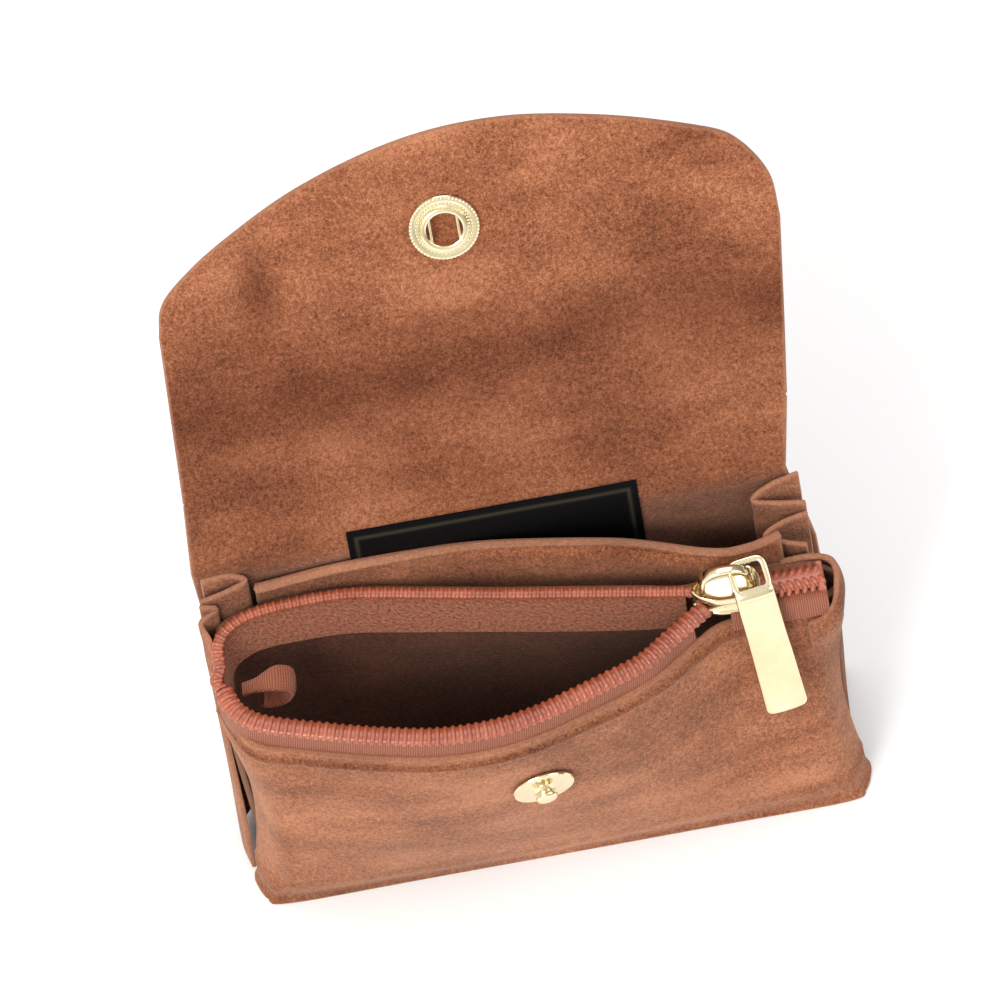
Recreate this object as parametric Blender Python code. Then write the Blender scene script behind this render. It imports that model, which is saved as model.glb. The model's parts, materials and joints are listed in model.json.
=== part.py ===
"""Suede flap purse: a zip pocket in front, two open pockets behind it and a folding flap with a press snap.

The purse stands on its base at z = 0. X runs along the width, -Y is the front, and all lengths are in metres.
Every soft panel is a thin solid lofted through a few cross curves, and the metal is turned or extruded.
"""

import math

import bpy
import numpy as np
from mathutils import Matrix, Vector

mm = 0.001

# Body
BODY_WIDTH = 112 * mm
BASE_FRONT = -7.5 * mm
BASE_BACK = 20 * mm
BACK_HEIGHT = 80 * mm
BACK_CURL = 3.5 * mm
LIP_HEIGHT = 68.5 * mm
REAR_LIP_RISE = 2.5 * mm
FRONT_DROP = 5 * mm
REAR_DROP = 1.6 * mm
MOUTH_FRONT = -18.9 * mm
MOUTH_BACK = 12.2 * mm
SUEDE = 1.2 * mm
INNER_SUEDE = 1.0 * mm
GAP = 0.3 * mm

BASE_CORNER = 4 * mm
WALL_TURN = 5 * mm
POCKET_FOOT = 9 * mm
DIVIDER_FOOT = 10.8 * mm
DIVIDER_KNEE = 36 * mm
DIVIDER_EASE = 1.2 * mm
DIVIDER_FOLD = 6 * mm

# Flap
FLAP_INSET = 1 * mm
BRIDGE_LEAN = math.radians(26)
FACE_LEAN = math.radians(31)
FACE_LENGTH = 50.5 * mm
CORNER_DROP = 19 * mm
CLOSED_TILT = math.radians(3)
CLOSED_FOLD_DROP = 3.5 * mm
FOLD_GAP = 0.8 * mm

# Zip: a nylon coil zip, with its slider near the right end
TAPE = 0.6 * mm
REAR_TAPE = 9 * mm
FRONT_TAPE = 5 * mm
TAPE_HANG = 2 * mm
COIL_HALF_WIDTH = 1.5 * mm
CLOSED_COIL_HALF_WIDTH = 2.4 * mm
COIL_RADIUS = 1.3 * mm
ROW_OFFSET = 1.3 * mm
SLIDER_FROM_END = 20.5 * mm
SLIDER_LENGTH = 12.5 * mm
SLIDER_WIDTH = 6.6 * mm
SLIDER_PLATE = 1.0 * mm
SLIDER_CHANNEL = 3.2 * mm
POST_RADIUS = 1.2 * mm
POST_FROM_NOSE = 2.4 * mm
CLOSED_RUN = 9 * mm
CLOSED_TAPE_LENGTH = 9.5 * mm
STOP_LENGTH = 1.4 * mm
STOP_HALF_WIDTH = 2.6 * mm
TAIL_WIDTH = 6.5 * mm
TAIL_LENGTH = 8 * mm
TAIL_THICKNESS = 2.4 * mm

# Bail and pull
BAIL_SPAN = 8.5 * mm
BAIL_WIDTH = 1.6 * mm
BAIL_THICKNESS = 1.1 * mm
BAIL_CLEAR = 4.2 * mm
BAIL_BEND = 1.6 * mm
BAIL_FROM_TAIL = 1.85 * mm
PULL_WIDTH = 7.4 * mm
PULL_THICKNESS = 1.5 * mm
PULL_RING = 7.0 * mm
PULL_BAR = 28.5 * mm
PULL_RIM = 1.1 * mm
RING_SLOPE = math.radians(24)
BAR_SLOPE = math.radians(73)
PULL_YAW = math.radians(7)

# Snap
SNAP_X = -2.4 * mm
STUD_HEIGHT = 44.5 * mm
STUD_DISC = 5.6 * mm
STUD_RISE = 1.0 * mm
STUD_NECK = 1.45 * mm
STUD_HEAD = 1.95 * mm
SNAP_STANDOFF = 3.5 * mm
SOCKET_RADIUS = 6.35 * mm
SOCKET_PLAY = 1.3 * mm
SOCKET_WALL = 0.95 * mm
SOCKET_DEPTH = 1.7 * mm
SPRING_WIRE = 0.3 * mm
CAP_RADIUS = 6.0 * mm
WALL_SWING = math.radians(8)

# Label
LABEL_WIDTH = 52 * mm
LABEL_HEIGHT = 20 * mm
LABEL = 0.4 * mm
LABEL_X = -2.6 * mm

HALF = BODY_WIDTH / 2
FLAP_HALF = HALF - FLAP_INSET
SOCKET_HOLE = STUD_HEAD + SOCKET_PLAY
CLOSED_FRONT = SLIDER_WIDTH / 2
CLOSED_BACK = SLIDER_WIDTH / 2 + INNER_SUEDE / 2 + 2 * GAP
SLIDER_X = HALF - SLIDER_FROM_END
MOUTH_LEFT = -HALF + 1.2 * mm
MOUTH_RIGHT = SLIDER_X - SLIDER_LENGTH / 2 - 1.0 * mm
RIGHT_END = HALF - 7 * mm
COLUMNS = 30
ROWS = 7


def clear_scene():
    """Empty the scene, so the purse is the only thing in it."""
    for obj in list(bpy.data.objects):
        bpy.data.objects.remove(obj, do_unlink=True)


def finish(name, colour, roughness, metallic=0.0):
    """One Principled material."""
    made = bpy.data.materials.new(name)
    made.use_nodes = True
    shader = made.node_tree.nodes["Principled BSDF"]
    shader.inputs["Base Color"].default_value = (*colour, 1.0)
    shader.inputs["Roughness"].default_value = roughness
    shader.inputs["Metallic"].default_value = metallic
    return made


def solid(name, points, faces, material):
    """A named mesh object, smooth except at its sharp edges."""
    mesh = bpy.data.meshes.new(name)
    mesh.from_pydata([tuple(p) for p in np.asarray(points, float)], [], faces)
    mesh.validate()
    mesh.shade_smooth()
    mesh.set_sharp_from_angle(angle=math.radians(40))
    obj = bpy.data.objects.new(name, mesh)
    obj.data.materials.append(material)
    bpy.context.scene.collection.objects.link(obj)
    return obj


def smooth_line(points, count):
    """Points evenly spread along a Catmull-Rom curve through the given points."""
    p = np.asarray(points, float)
    ends = np.vstack([2 * p[0] - p[1], p, 2 * p[-1] - p[-2]])
    t = np.linspace(0, 1, 24, endpoint=False)[:, None]
    runs = []
    for a, b, c, d in zip(ends[:-3], ends[1:-2], ends[2:-1], ends[3:]):
        cubic = 2 * b + (c - a) * t + (2 * a - 5 * b + 4 * c - d) * t**2 + (3 * b - a - 3 * c + d) * t**3
        runs.append(cubic / 2)
    fine = np.vstack([*runs, p[-1:]])
    along = np.concatenate([[0], np.cumsum(np.linalg.norm(np.diff(fine, axis=0), axis=1))])
    at = np.linspace(0, along[-1], count)
    return np.column_stack([np.interp(at, along, fine[:, k]) for k in range(p.shape[1])])


def loft(curves, columns=COLUMNS, rows=ROWS):
    """A grid of points on the surface through a stack of curves, lowest first."""
    lines = np.array([smooth_line(c, columns) for c in curves])
    return np.stack([smooth_line(lines[:, k], rows) for k in range(columns)], axis=1)


def grid_normals(grid):
    """Unit normals of a grid of points, from its two directions."""
    across = np.gradient(grid, axis=1)
    up = np.gradient(grid, axis=0)
    normal = np.cross(across, up)
    return normal / np.linalg.norm(normal, axis=2, keepdims=True)


def sheet_solid(name, grid, thickness, material):
    """A closed sheet: the grid moved half the thickness to each side, with its rim closed."""
    normal = grid_normals(grid) * thickness / 2
    rows, columns = grid.shape[:2]
    points = np.vstack([(grid + normal).reshape(-1, 3), (grid - normal).reshape(-1, 3)])
    count = rows * columns
    faces = []
    for r in range(rows - 1):
        for c in range(columns - 1):
            a = r * columns + c
            quad = [a, a + 1, a + columns + 1, a + columns]
            faces.append(quad)
            faces.append([count + k for k in reversed(quad)])
    rim = [c for c in range(columns)]
    rim += [r * columns + columns - 1 for r in range(1, rows)]
    rim += [(rows - 1) * columns + c for c in range(columns - 2, -1, -1)]
    rim += [r * columns for r in range(rows - 2, 0, -1)]
    for a, b in zip(rim, rim[1:] + rim[:1]):
        faces.append([b, a, count + a, count + b])
    return solid(name, points, faces, material)


def tube(name, path, wide, high, sides, material):
    """An oval bar along a path, with flat ends. Wide is across the path in plan, high is upwards."""
    path = np.asarray(path, float)
    along = np.gradient(path, axis=0)
    along /= np.linalg.norm(along, axis=1, keepdims=True)
    side = np.cross(along, [0, 0, 1])
    side /= np.linalg.norm(side, axis=1, keepdims=True)
    up = np.cross(side, along)
    angle = np.linspace(0, 2 * math.pi, sides, endpoint=False)
    ring = side[:, None] * np.cos(angle)[:, None] * wide + up[:, None] * np.sin(angle)[:, None] * high
    points = (path[:, None] + ring).reshape(-1, 3)
    faces = []
    for k in range(len(path) - 1):
        for s in range(sides):
            a, b = k * sides + s, k * sides + (s + 1) % sides
            faces.append([b, a, a + sides, b + sides])
    faces.append(list(range(sides)))
    faces.append([(len(path) - 1) * sides + s for s in range(sides - 1, -1, -1)])
    return solid(name, points, faces, material)


def turned(name, profile, place, steps, material):
    """A turned ring: a closed profile of (radius, height), counter-clockwise with the radius to the right."""
    profile = np.asarray(profile, float)
    angle = np.linspace(0, 2 * math.pi, steps, endpoint=False)
    radius, height = profile[:, 0], profile[:, 1]
    ring = np.stack([np.outer(np.cos(angle), radius), np.outer(np.sin(angle), radius)], axis=2)
    points = np.concatenate([ring, np.broadcast_to(height, ring.shape[:2])[..., None]], axis=2)
    count = len(profile)
    faces = []
    for s in range(steps):
        for k in range(count):
            a, b = s * count + k, s * count + (k + 1) % count
            c, d = (s + 1) % steps * count + (k + 1) % count, (s + 1) % steps * count + k
            faces.append([a, d, c, b])
    return solid(name, moved(points.reshape(-1, 3), place), faces, material)


def turned_pin(name, profile, place, steps, material):
    """A turned solid whose profile, from bottom to top, starts and ends on the axis."""
    inner = np.asarray(profile, float)
    angle = np.linspace(0, 2 * math.pi, steps, endpoint=False)
    circle = np.column_stack([np.cos(angle), np.sin(angle), 0 * angle])
    rings = [circle * r + [0, 0, h] for r, h in inner[1:-1]]
    points = np.vstack([[[0, 0, inner[0, 1]]], *rings, [[0, 0, inner[-1, 1]]]])
    faces = []
    for s in range(steps):
        faces.append([0, 1 + (s + 1) % steps, 1 + s])
        for k in range(len(rings) - 1):
            a, b = 1 + k * steps + s, 1 + k * steps + (s + 1) % steps
            faces.append([a, b, b + steps, a + steps])
        top = 1 + (len(rings) - 1) * steps
        faces.append([top + s, top + (s + 1) % steps, len(points) - 1])
    return solid(name, moved(points, place), faces, material)


def moved(points, place):
    """Points carried by a 4x4 placement."""
    matrix = np.array(place)
    return np.asarray(points) @ matrix[:3, :3].T + matrix[:3, 3]


def slab(name, outline, bottom, top, material):
    """An outline in X and Y, counter-clockwise from above, raised from bottom to top."""
    count = len(outline)
    points = [(x, y, bottom) for x, y in outline] + [(x, y, top) for x, y in outline]
    faces = [list(range(count - 1, -1, -1)), list(range(count, 2 * count))]
    for k in range(count):
        a, b = k, (k + 1) % count
        faces.append([a, b, b + count, a + count])
    return solid(name, points, faces, material)


def combine(obj, other, operation):
    """Cut another shape out of an object (DIFFERENCE), or add it as one body (UNION)."""
    other.hide_render = True
    other.display_type = "WIRE"
    other.parent = obj
    boolean = obj.modifiers.new(other.name, "BOOLEAN")
    boolean.object = other
    boolean.operation = operation
    boolean.solver = "EXACT"


def hang(name, place, pieces, carrier=None):
    """An empty on a joint's axis, which carries the pieces that turn or slide there."""
    pivot = bpy.data.objects.new(name, None)
    pivot.location = place
    bpy.context.scene.collection.objects.link(pivot)
    for piece in pieces:
        piece.parent = pivot
        piece.matrix_parent_inverse = Matrix.Translation(-Vector(place))
    if carrier:
        pivot.parent = carrier
        pivot.matrix_parent_inverse = Matrix.Translation(-carrier.location)
    return pivot


def mouth_x(share):
    """X at a share of the open mouth, from its left end to the slider."""
    return MOUTH_LEFT + share * (MOUTH_RIGHT - MOUTH_LEFT)


def front_row():
    """The front row's centre line, from the left end of the mouth to the slider."""
    shape = [(0.0, 0.10), (0.02, 0.32), (0.07, 0.50), (0.17, 0.66), (0.30, 0.84), (0.43, 0.97), (0.55, 0.99)]
    shape += [(0.65, 0.92), (0.74, 0.80), (0.81, 0.70), (0.89, 0.57), (0.96, 0.36), (1.0, 0.24)]
    return [(mouth_x(s), y * MOUTH_FRONT, LIP_HEIGHT) for s, y in shape]


def rear_row():
    """The rear row's centre line, from the left end of the mouth to the slider."""
    shape = [(0.0, 0.22), (0.002, 0.52), (0.025, 0.76), (0.08, 0.94), (0.17, 1.0), (0.30, 0.985)]
    shape += [(0.48, 0.76), (0.60, 0.60), (0.80, 0.36), (1.0, 0.12)]
    return [(mouth_x(s), y * MOUTH_BACK, LIP_HEIGHT + REAR_LIP_RISE * min(1, y)) for s, y in shape]


def offset_line(row, out, drop):
    """A row moved sideways by out, to its right as it runs, and down by drop, without its first point."""
    line = smooth_line(row, 12)
    slope = np.gradient(line, axis=0)
    away = np.column_stack([slope[:, 1], -slope[:, 0], 0 * slope[:, 0]])
    away *= out / np.linalg.norm(away, axis=1, keepdims=True)
    return [tuple(p) for p in (line + away - [0, 0, drop])[1:]]


def lip_line(row, out, drop, left_y, closed_y, right_y):
    """A wall's edge beside a row, from the left end, past the slider to the right end."""
    z = LIP_HEIGHT - drop
    ends = [(SLIDER_X, closed_y, z), (RIGHT_END, closed_y, z), (HALF - 1 * mm, right_y, z)]
    return [(-HALF + 0.1 * mm, left_y, z), *offset_line(row, out, drop), *ends]


def front_lip(drop, out):
    """The front panel's edge, outside the front row."""
    return lip_line(front_row(), out, drop, 0, -CLOSED_FRONT, -0.4 * mm)


def rear_lip(drop, out):
    """The pocket's rear panel edge, behind the rear row."""
    return lip_line(rear_row(), -out, drop, 1.8 * mm, CLOSED_BACK, 1.4 * mm)


def foot_line(y, side_y, z, inset=0.0):
    """A line along the base at y, turned round both ends to side_y."""
    turn = WALL_TURN
    toward = math.copysign(1, side_y - y)
    x = HALF - inset
    left = [(-x, side_y, z), (-x, y + toward * turn, z), (-x + 0.3 * turn, y + toward * 0.3 * turn, z)]
    middle = [(s * (x - turn), y, z) for s in (-1, -0.5, 0, 0.5, 1)]
    right = [(-a, b, c) for a, b, c in reversed(left)]
    return left + middle + right


def between(low, high, share, push=0.0):
    """A curve at a share of the way between two curves, pushed along Y."""
    a, b = smooth_line(low, COLUMNS), smooth_line(high, COLUMNS)
    ease = np.sin(np.linspace(0, math.pi, COLUMNS)) ** 0.4
    middle = a + (b - a) * share
    middle[:, 1] += push * ease
    return middle


def front_wall_grid():
    """The front wall, bellied below the lip so that the upper part stands upright."""
    foot = foot_line(BASE_FRONT, -0.6 * mm, GAP, 0.6 * mm)
    lip = front_lip(FRONT_DROP, ROW_OFFSET + SUEDE / 2)
    return loft([foot, between(foot, lip, 0.33, -1.6 * mm), between(foot, lip, 0.67, -1.5 * mm), lip])


def front_wall_seat(x, z):
    """The front wall's middle surface at a place, and its outward normal there."""
    grid = front_wall_grid()
    flat, normals = grid.reshape(-1, 3), -grid_normals(grid).reshape(-1, 3)
    distance = (flat[:, 0] - x) ** 2 + (flat[:, 2] - z) ** 2
    near = np.argsort(distance)[:4]
    weight = (1 / (distance[near] + (0.1 * mm) ** 2))[:, None]
    normal = (normals[near] * weight).sum(axis=0) / weight.sum()
    y = float((flat[near, 1:2] * weight).sum() / weight.sum())
    return Vector((x, y, z)), Vector(normal * -math.copysign(1, normal[1])).normalized()


def front_panel(material):
    return sheet_solid("front_panel", front_wall_grid(), SUEDE, material)


def pocket_rear_panel(material):
    foot = foot_line(POCKET_FOOT, 0.9 * mm, SUEDE + GAP, 3.2 * mm)
    lip = rear_lip(REAR_DROP, ROW_OFFSET + INNER_SUEDE / 2)
    grid = loft([foot, between(foot, lip, 0.5, 0.4 * mm), lip])
    return sheet_solid("pocket_rear_panel", grid, INNER_SUEDE, material)


def base_panel(material):
    inset = SUEDE + 2 * GAP
    x, front, back = HALF - inset - 0.6 * mm, BASE_FRONT + inset, BASE_BACK - SUEDE / 2 - GAP
    outline = [(-x + BASE_CORNER, front), (x - BASE_CORNER, front), (x, front + BASE_CORNER)]
    outline += [(x, back), (-x, back), (-x, front + BASE_CORNER)]
    return slab("base_panel", outline, 0, SUEDE, material)


def back_y(z):
    """Y of the back panel's middle at a height: upright below, curling forward towards the fold."""
    return BASE_BACK - BACK_CURL * (z / BACK_HEIGHT) ** 3


def back_panel(material):
    left, right = -HALF + 0.2 * mm, HALF - 4.5 * mm
    curves = []
    for share in (0, 0.3, 0.6, 0.8, 0.93, 1):
        z = GAP + share * (BACK_HEIGHT - FOLD_GAP - GAP)
        wide = left, right + (1 - share) * 2.5 * mm
        curves.append([(wide[0], back_y(z), z), (0.5 * sum(wide), back_y(z), z), (wide[1], back_y(z), z)])
    return sheet_solid("back_panel", loft(curves, 12, 12), SUEDE, material)


def behind_pocket(x, z):
    """The nearest Y that the divider's middle may have behind the pocket's rear wall."""
    line = np.array(rear_lip(REAR_DROP, ROW_OFFSET + INNER_SUEDE / 2))
    lip = np.interp(x, line[:, 0], line[:, 1])
    wall = POCKET_FOOT + (lip - POCKET_FOOT) * min(1, z / LIP_HEIGHT)
    return wall + INNER_SUEDE + GAP


def divider_panel(material):
    """The wall between the two open pockets, whose top edge sags towards the zip on the right."""
    x = [-HALF + 10 * mm, -0.5 * HALF, -0.1 * HALF, 0.3 * HALF, 0.6 * HALF, HALF - 15.5 * mm]
    drop = [5, 3.5, 4, 6, 8, 8]
    share = [0.75, 0.62, 0.5, 0.33, 0.03, 0.03]
    lean = [-1.0, -0.7, 1.0, 1.7, 0.9, 0.7]
    knee, top = [], []
    for at, low, part, over in zip(x, drop, share, lean):
        height = BACK_HEIGHT - low * mm
        bend = height - DIVIDER_FOLD
        near = behind_pocket(at, bend)
        far = back_y(bend) - SUEDE / 2 - LABEL - INNER_SUEDE / 2 - 2 * GAP
        y = near + part * (far - near)
        knee.append((at, y, bend))
        top.append((at, y + over * mm, height))
    foot = [(k, DIVIDER_FOOT, SUEDE + GAP) for k in x]
    middle = [(k, behind_pocket(k, DIVIDER_KNEE) + DIVIDER_EASE, DIVIDER_KNEE) for k in x]
    return sheet_solid("divider_panel", loft([foot, middle, knee, top], 20, 10), INNER_SUEDE, material)


def pleat_section(a, fold, c):
    """A sharp fold in plan, as seven points: mitred inside the fold and bevelled outside it."""
    one, other = (fold - a)[:2], (c - fold)[:2]
    one, other = one / np.linalg.norm(one), other / np.linalg.norm(other)
    inner = math.copysign(INNER_SUEDE / 2, one[0] * other[1] - one[1] * other[0])
    first = np.array([-one[1] * inner, one[0] * inner, 0])
    second = np.array([-other[1] * inner, other[0] * inner, 0])
    mitre = (first + second) / (1 + np.dot(first, second) / (INNER_SUEDE / 2) ** 2)
    return [a + first, fold + mitre, c + second, c - second, fold - second, fold - first, a - first]


def gusset(name, folds, material):
    """A pleat of two strips that meet at an upright fold. Each line is (x, y at the foot, y at the top, drop)."""
    foot = SUEDE + GAP
    points, faces = [], []
    for share in (0, 0.5, 1):
        line = []
        for x, low, high, drop in folds:
            z = foot + (BACK_HEIGHT - drop * mm - foot) * share
            line.append(np.array([x, (low + (high - low) * share) * mm, z]))
        points += pleat_section(*line)
    for low in (0, 7):
        for k in range(7):
            ahead = (k + 1) % 7
            faces.append([low + k, low + ahead, low + 7 + ahead, low + 7 + k])
    for cap in ([0, 1, 5, 6], [1, 2, 3, 4], [1, 4, 5]):
        faces.append(cap[::-1])
        faces.append([14 + k for k in cap])
    a, fold, c = points[6], points[5], points[2]
    if (fold - a)[0] * (c - a)[1] - (fold - a)[1] * (c - a)[0] > 0:
        faces = [face[::-1] for face in faces]
    return solid(name, points, faces, material)


def gussets(material):
    """Both sides: a rear pleat from the back panel and a front pleat on to the zip pocket."""
    out = HALF - 1 * mm
    deep = out - 12 * mm
    left = [(-out, 18.6, 15.2, 1), (-out + 8 * mm, 17.8, 15.3, 2), (-out - 0.4 * mm, 16.0, 13.3, 5)]
    gusset("gusset_left_rear", left, material)
    left = [(-out - 0.1 * mm, 14.6, 12.1, 7), (-out - 0.6 * mm, 12.4, 11.3, 9)]
    left += [(-out - 0.8 * mm, 10.6, 10.6, 11)]
    gusset("gusset_left_front", left, material)
    right = [(out - 3.4 * mm, 16.2, 11.9, 6), (deep, 17.4, 13.2, 4), (out - 3.8 * mm, 18.6, 15.2, 1)]
    gusset("gusset_right_rear", right, material)
    right = [(out - 4 * mm, 11.6, 6.6, 11), (deep + 1 * mm, 13.4, 8.4, 9), (out - 3.4 * mm, 14.9, 10.4, 7)]
    gusset("gusset_right_front", right, material)


def zip_rows(coil, tape):
    """Both open rows: a coil along each lip and a tape that hangs just inside it. Gives the front pair."""
    made = []
    for side, row, sign, deep in (("front", front_row(), -1, FRONT_TAPE), ("rear", rear_row(), 1, REAR_TAPE)):
        line = smooth_line(row, COLUMNS)
        made.append(tube("zip_coil_" + side, line, COIL_HALF_WIDTH, COIL_RADIUS, 8, coil))
        slope = np.gradient(line, axis=0)
        inward = np.column_stack([sign * slope[:, 1], -sign * slope[:, 0], 0 * slope[:, 0]])
        inward /= np.linalg.norm(inward, axis=1, keepdims=True)
        top = line - [0, 0, COIL_RADIUS + GAP] + inward * 2 * GAP
        low = top - [0, 0, deep] + inward * TAPE_HANG
        made.append(sheet_solid("zip_tape_" + side, np.array([low, (low + top) / 2, top]), TAPE, tape))
    return made[:2]


def zip_closed(coil, tape):
    """The meshed run from inside the slider to its right, on its tape, with a sewn stop at its end."""
    post = slider_post_x() + POST_RADIUS
    end = SLIDER_X + SLIDER_LENGTH / 2 + CLOSED_RUN
    path = [(x, 0, LIP_HEIGHT) for x in np.linspace(post + 2 * GAP, end, 6)]
    tube("zip_coil_closed", path, CLOSED_COIL_HALF_WIDTH, COIL_RADIUS, 10, coil)
    top = LIP_HEIGHT - COIL_RADIUS - GAP
    y, tip = CLOSED_FRONT - SUEDE / 2 - GAP, end + 2.5 * mm
    first, corner = tip - CLOSED_TAPE_LENGTH, tip - 2 * mm
    outline = [(first, -y), (corner, -y), (tip, -0.3 * y), (tip, 0.3 * y), (corner, y), (first, y)]
    slab("zip_tape_closed", outline, top - TAPE, top, tape)
    near, far = end + GAP, end + GAP + STOP_LENGTH
    wide = STOP_HALF_WIDTH
    stop = [(near, -wide), (far, -wide), (far, wide), (near, wide)]
    slab("zip_end_stop", stop, top + GAP, LIP_HEIGHT + COIL_RADIUS, coil)


def zip_tape_tail(tape):
    """The tape's cut end, folded into a stub and tacked inside the left end of the mouth."""
    x, y, z = MOUTH_LEFT + 4.5 * mm, 0.5 * mm, LIP_HEIGHT - 4 * mm
    half = TAIL_WIDTH / 2
    lower = [(x, y - half, z - 2.4 * mm), (x + TAIL_LENGTH, y - 0.8 * half, z - 4.4 * mm)]
    upper = [(x, y + half, z - 1.2 * mm), (x + TAIL_LENGTH, y + 1.2 * half, z - 2.6 * mm)]
    sheet_solid("zip_tape_tail", loft([lower, upper], 8, 4), TAIL_THICKNESS, tape)


def slider_post_x():
    """X of the post that parts the rows, near the slider's nose."""
    return SLIDER_X - SLIDER_LENGTH / 2 + POST_FROM_NOSE


def slider(material):
    """The slider: a plate above the coil and one below it, joined by a post near the nose."""
    half, wide = SLIDER_LENGTH / 2, SLIDER_WIDTH / 2
    low, high = LIP_HEIGHT - SLIDER_CHANNEL / 2, LIP_HEIGHT + SLIDER_CHANNEL / 2
    shoulder, tail = SLIDER_X + 1 * mm, SLIDER_X + half
    turn = np.linspace(math.pi / 2, 3 * math.pi / 2, 9)
    nose = [(SLIDER_X - half + wide + wide * math.cos(a), wide * math.sin(a)) for a in turn]
    outline = [(shoulder, -wide), (tail, -0.72 * wide), (tail, 0.72 * wide), (shoulder, wide), *nose]
    body = slab("slider_body", outline, high, high + SLIDER_PLATE, material)
    lower = slab("slider_lower", outline, low - SLIDER_PLATE, low, material)
    round_post = np.linspace(0, 2 * math.pi, 12, endpoint=False)
    post = [(slider_post_x() + POST_RADIUS * math.cos(a), POST_RADIUS * math.sin(a)) for a in round_post]
    overlap = SLIDER_PLATE / 2
    combine(body, slab("slider_post", post, low - overlap, high + overlap, material), "UNION")
    combine(body, lower, "UNION")
    return body


def bail_feet():
    """X of the bail's two feet: the right one stands in the pull's ring."""
    right = SLIDER_X + SLIDER_LENGTH / 2 - BAIL_FROM_TAIL
    return right - BAIL_SPAN, right


def slider_bail(material):
    """The arched bail on the slider's top plate."""
    left, right = bail_feet()
    base = LIP_HEIGHT + SLIDER_CHANNEL / 2 + SLIDER_PLATE + GAP
    top = base + BAIL_CLEAR + BAIL_THICKNESS / 2
    corner = 0.35 * BAIL_BEND
    rise = [(0, base), (0, top - BAIL_BEND), (corner, top - corner), (BAIL_BEND, top)]
    path = np.array([(left + x, 0, z) for x, z in rise] + [(right - x, 0, z) for x, z in reversed(rise)])
    along = np.gradient(path, axis=0)
    along /= np.linalg.norm(along, axis=1, keepdims=True)
    up = np.cross(along, [0, 1, 0]) * BAIL_THICKNESS / 2
    side = np.array([0, BAIL_WIDTH / 2, 0])
    rings = np.stack([path + up - side, path + up + side, path - up + side, path - up - side], axis=1)
    return bar_solid("slider_bail", rings, material)


def bar_solid(name, rings, material):
    """A bar through a row of four-cornered sections, with flat ends."""
    count = len(rings)
    faces = [[0, 1, 2, 3]]
    for k in range(count - 1):
        for s in range(4):
            a, b = 4 * k + s, 4 * k + (s + 1) % 4
            faces.append([a, a + 4, b + 4, b])
    last = 4 * (count - 1)
    faces.append([last + 3, last + 2, last + 1, last])
    return solid(name, np.asarray(rings, float).reshape(-1, 3), faces, material)


def pull_pivot():
    """The point in the ring's window that the bail's right foot passes through."""
    lift = (PULL_THICKNESS / 2 + 2 * GAP) / math.cos(RING_SLOPE)
    crown = LIP_HEIGHT + SLIDER_CHANNEL / 2 + SLIDER_PLATE
    return Vector((bail_feet()[1], 0, crown + lift + SLIDER_WIDTH / 2 * math.tan(RING_SLOPE)))


def pull_tab(material):
    """The pull: a flat bar below a square ring, bent at the ring, hung over the front."""
    pivot = pull_pivot()
    ring = np.array([-math.cos(RING_SLOPE), -math.sin(RING_SLOPE)])
    bar = np.array([-math.cos(BAR_SLOPE), -math.sin(BAR_SLOPE)])
    bend = ring * (PULL_RING * 0.61)
    start = bend - ring * PULL_RING
    end = bend + bar * PULL_BAR
    middle = (ring + bar) / np.linalg.norm(ring + bar)
    half = PULL_THICKNESS / 2
    sides = []
    ease, tip = 0.8 * mm, 2.2 * mm
    sections = [(start, ring, 1), (bend - ring * ease, ring, 1), (bend, middle, 1)]
    sections += [(bend + bar * ease, bar, 1), (end - bar * tip, bar, 1)]
    sections += [(end - bar * 0.3 * tip, bar, 0.72), (end, bar, 0.3)]
    for point, along, width in sections:
        out = np.array([along[1], -along[0]]) * half
        for x, sign in ((-1, 1), (1, 1), (1, -1), (-1, -1)):
            y, z = point + out * sign
            sides.append((x * width * PULL_WIDTH / 2, y, z))
    turn = Matrix.Rotation(PULL_YAW, 4, Vector((0, -math.sin(RING_SLOPE), math.cos(RING_SLOPE))))
    place = Matrix.Translation(pivot) @ turn
    tab = bar_solid("pull_tab", moved(sides, place).reshape(-1, 4, 3), material)
    window = PULL_WIDTH / 2 - PULL_RIM
    near, far = start + ring * PULL_RIM, bend - ring * PULL_RIM
    box = []
    for sign in (-1, 1):
        out = np.array([ring[1], -ring[0]]) * sign * PULL_THICKNESS
        for x, p in ((-window, near), (window, near), (window, far), (-window, far)):
            y, z = p + out
            box.append((x, y, z))
    cutter_faces = [[0, 1, 2, 3], [7, 6, 5, 4], [0, 4, 5, 1], [1, 5, 6, 2], [2, 6, 7, 3], [3, 7, 4, 0]]
    combine(tab, solid("pull_window", moved(box, place), cutter_faces, material), "DIFFERENCE")
    return tab


def facing(origin, normal):
    """A placement whose Z axis is the normal."""
    z = Vector(normal).normalized()
    x = Vector((1, 0, 0))
    turn = Matrix((x, z.cross(x), z)).transposed()
    return Matrix.Translation(origin) @ turn.to_4x4()


def stud_place():
    """The stud's seat on the front wall's outer face, and its outward direction."""
    middle, out = front_wall_seat(SNAP_X, STUD_HEIGHT)
    return middle + out * SUEDE / 2, out


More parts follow.
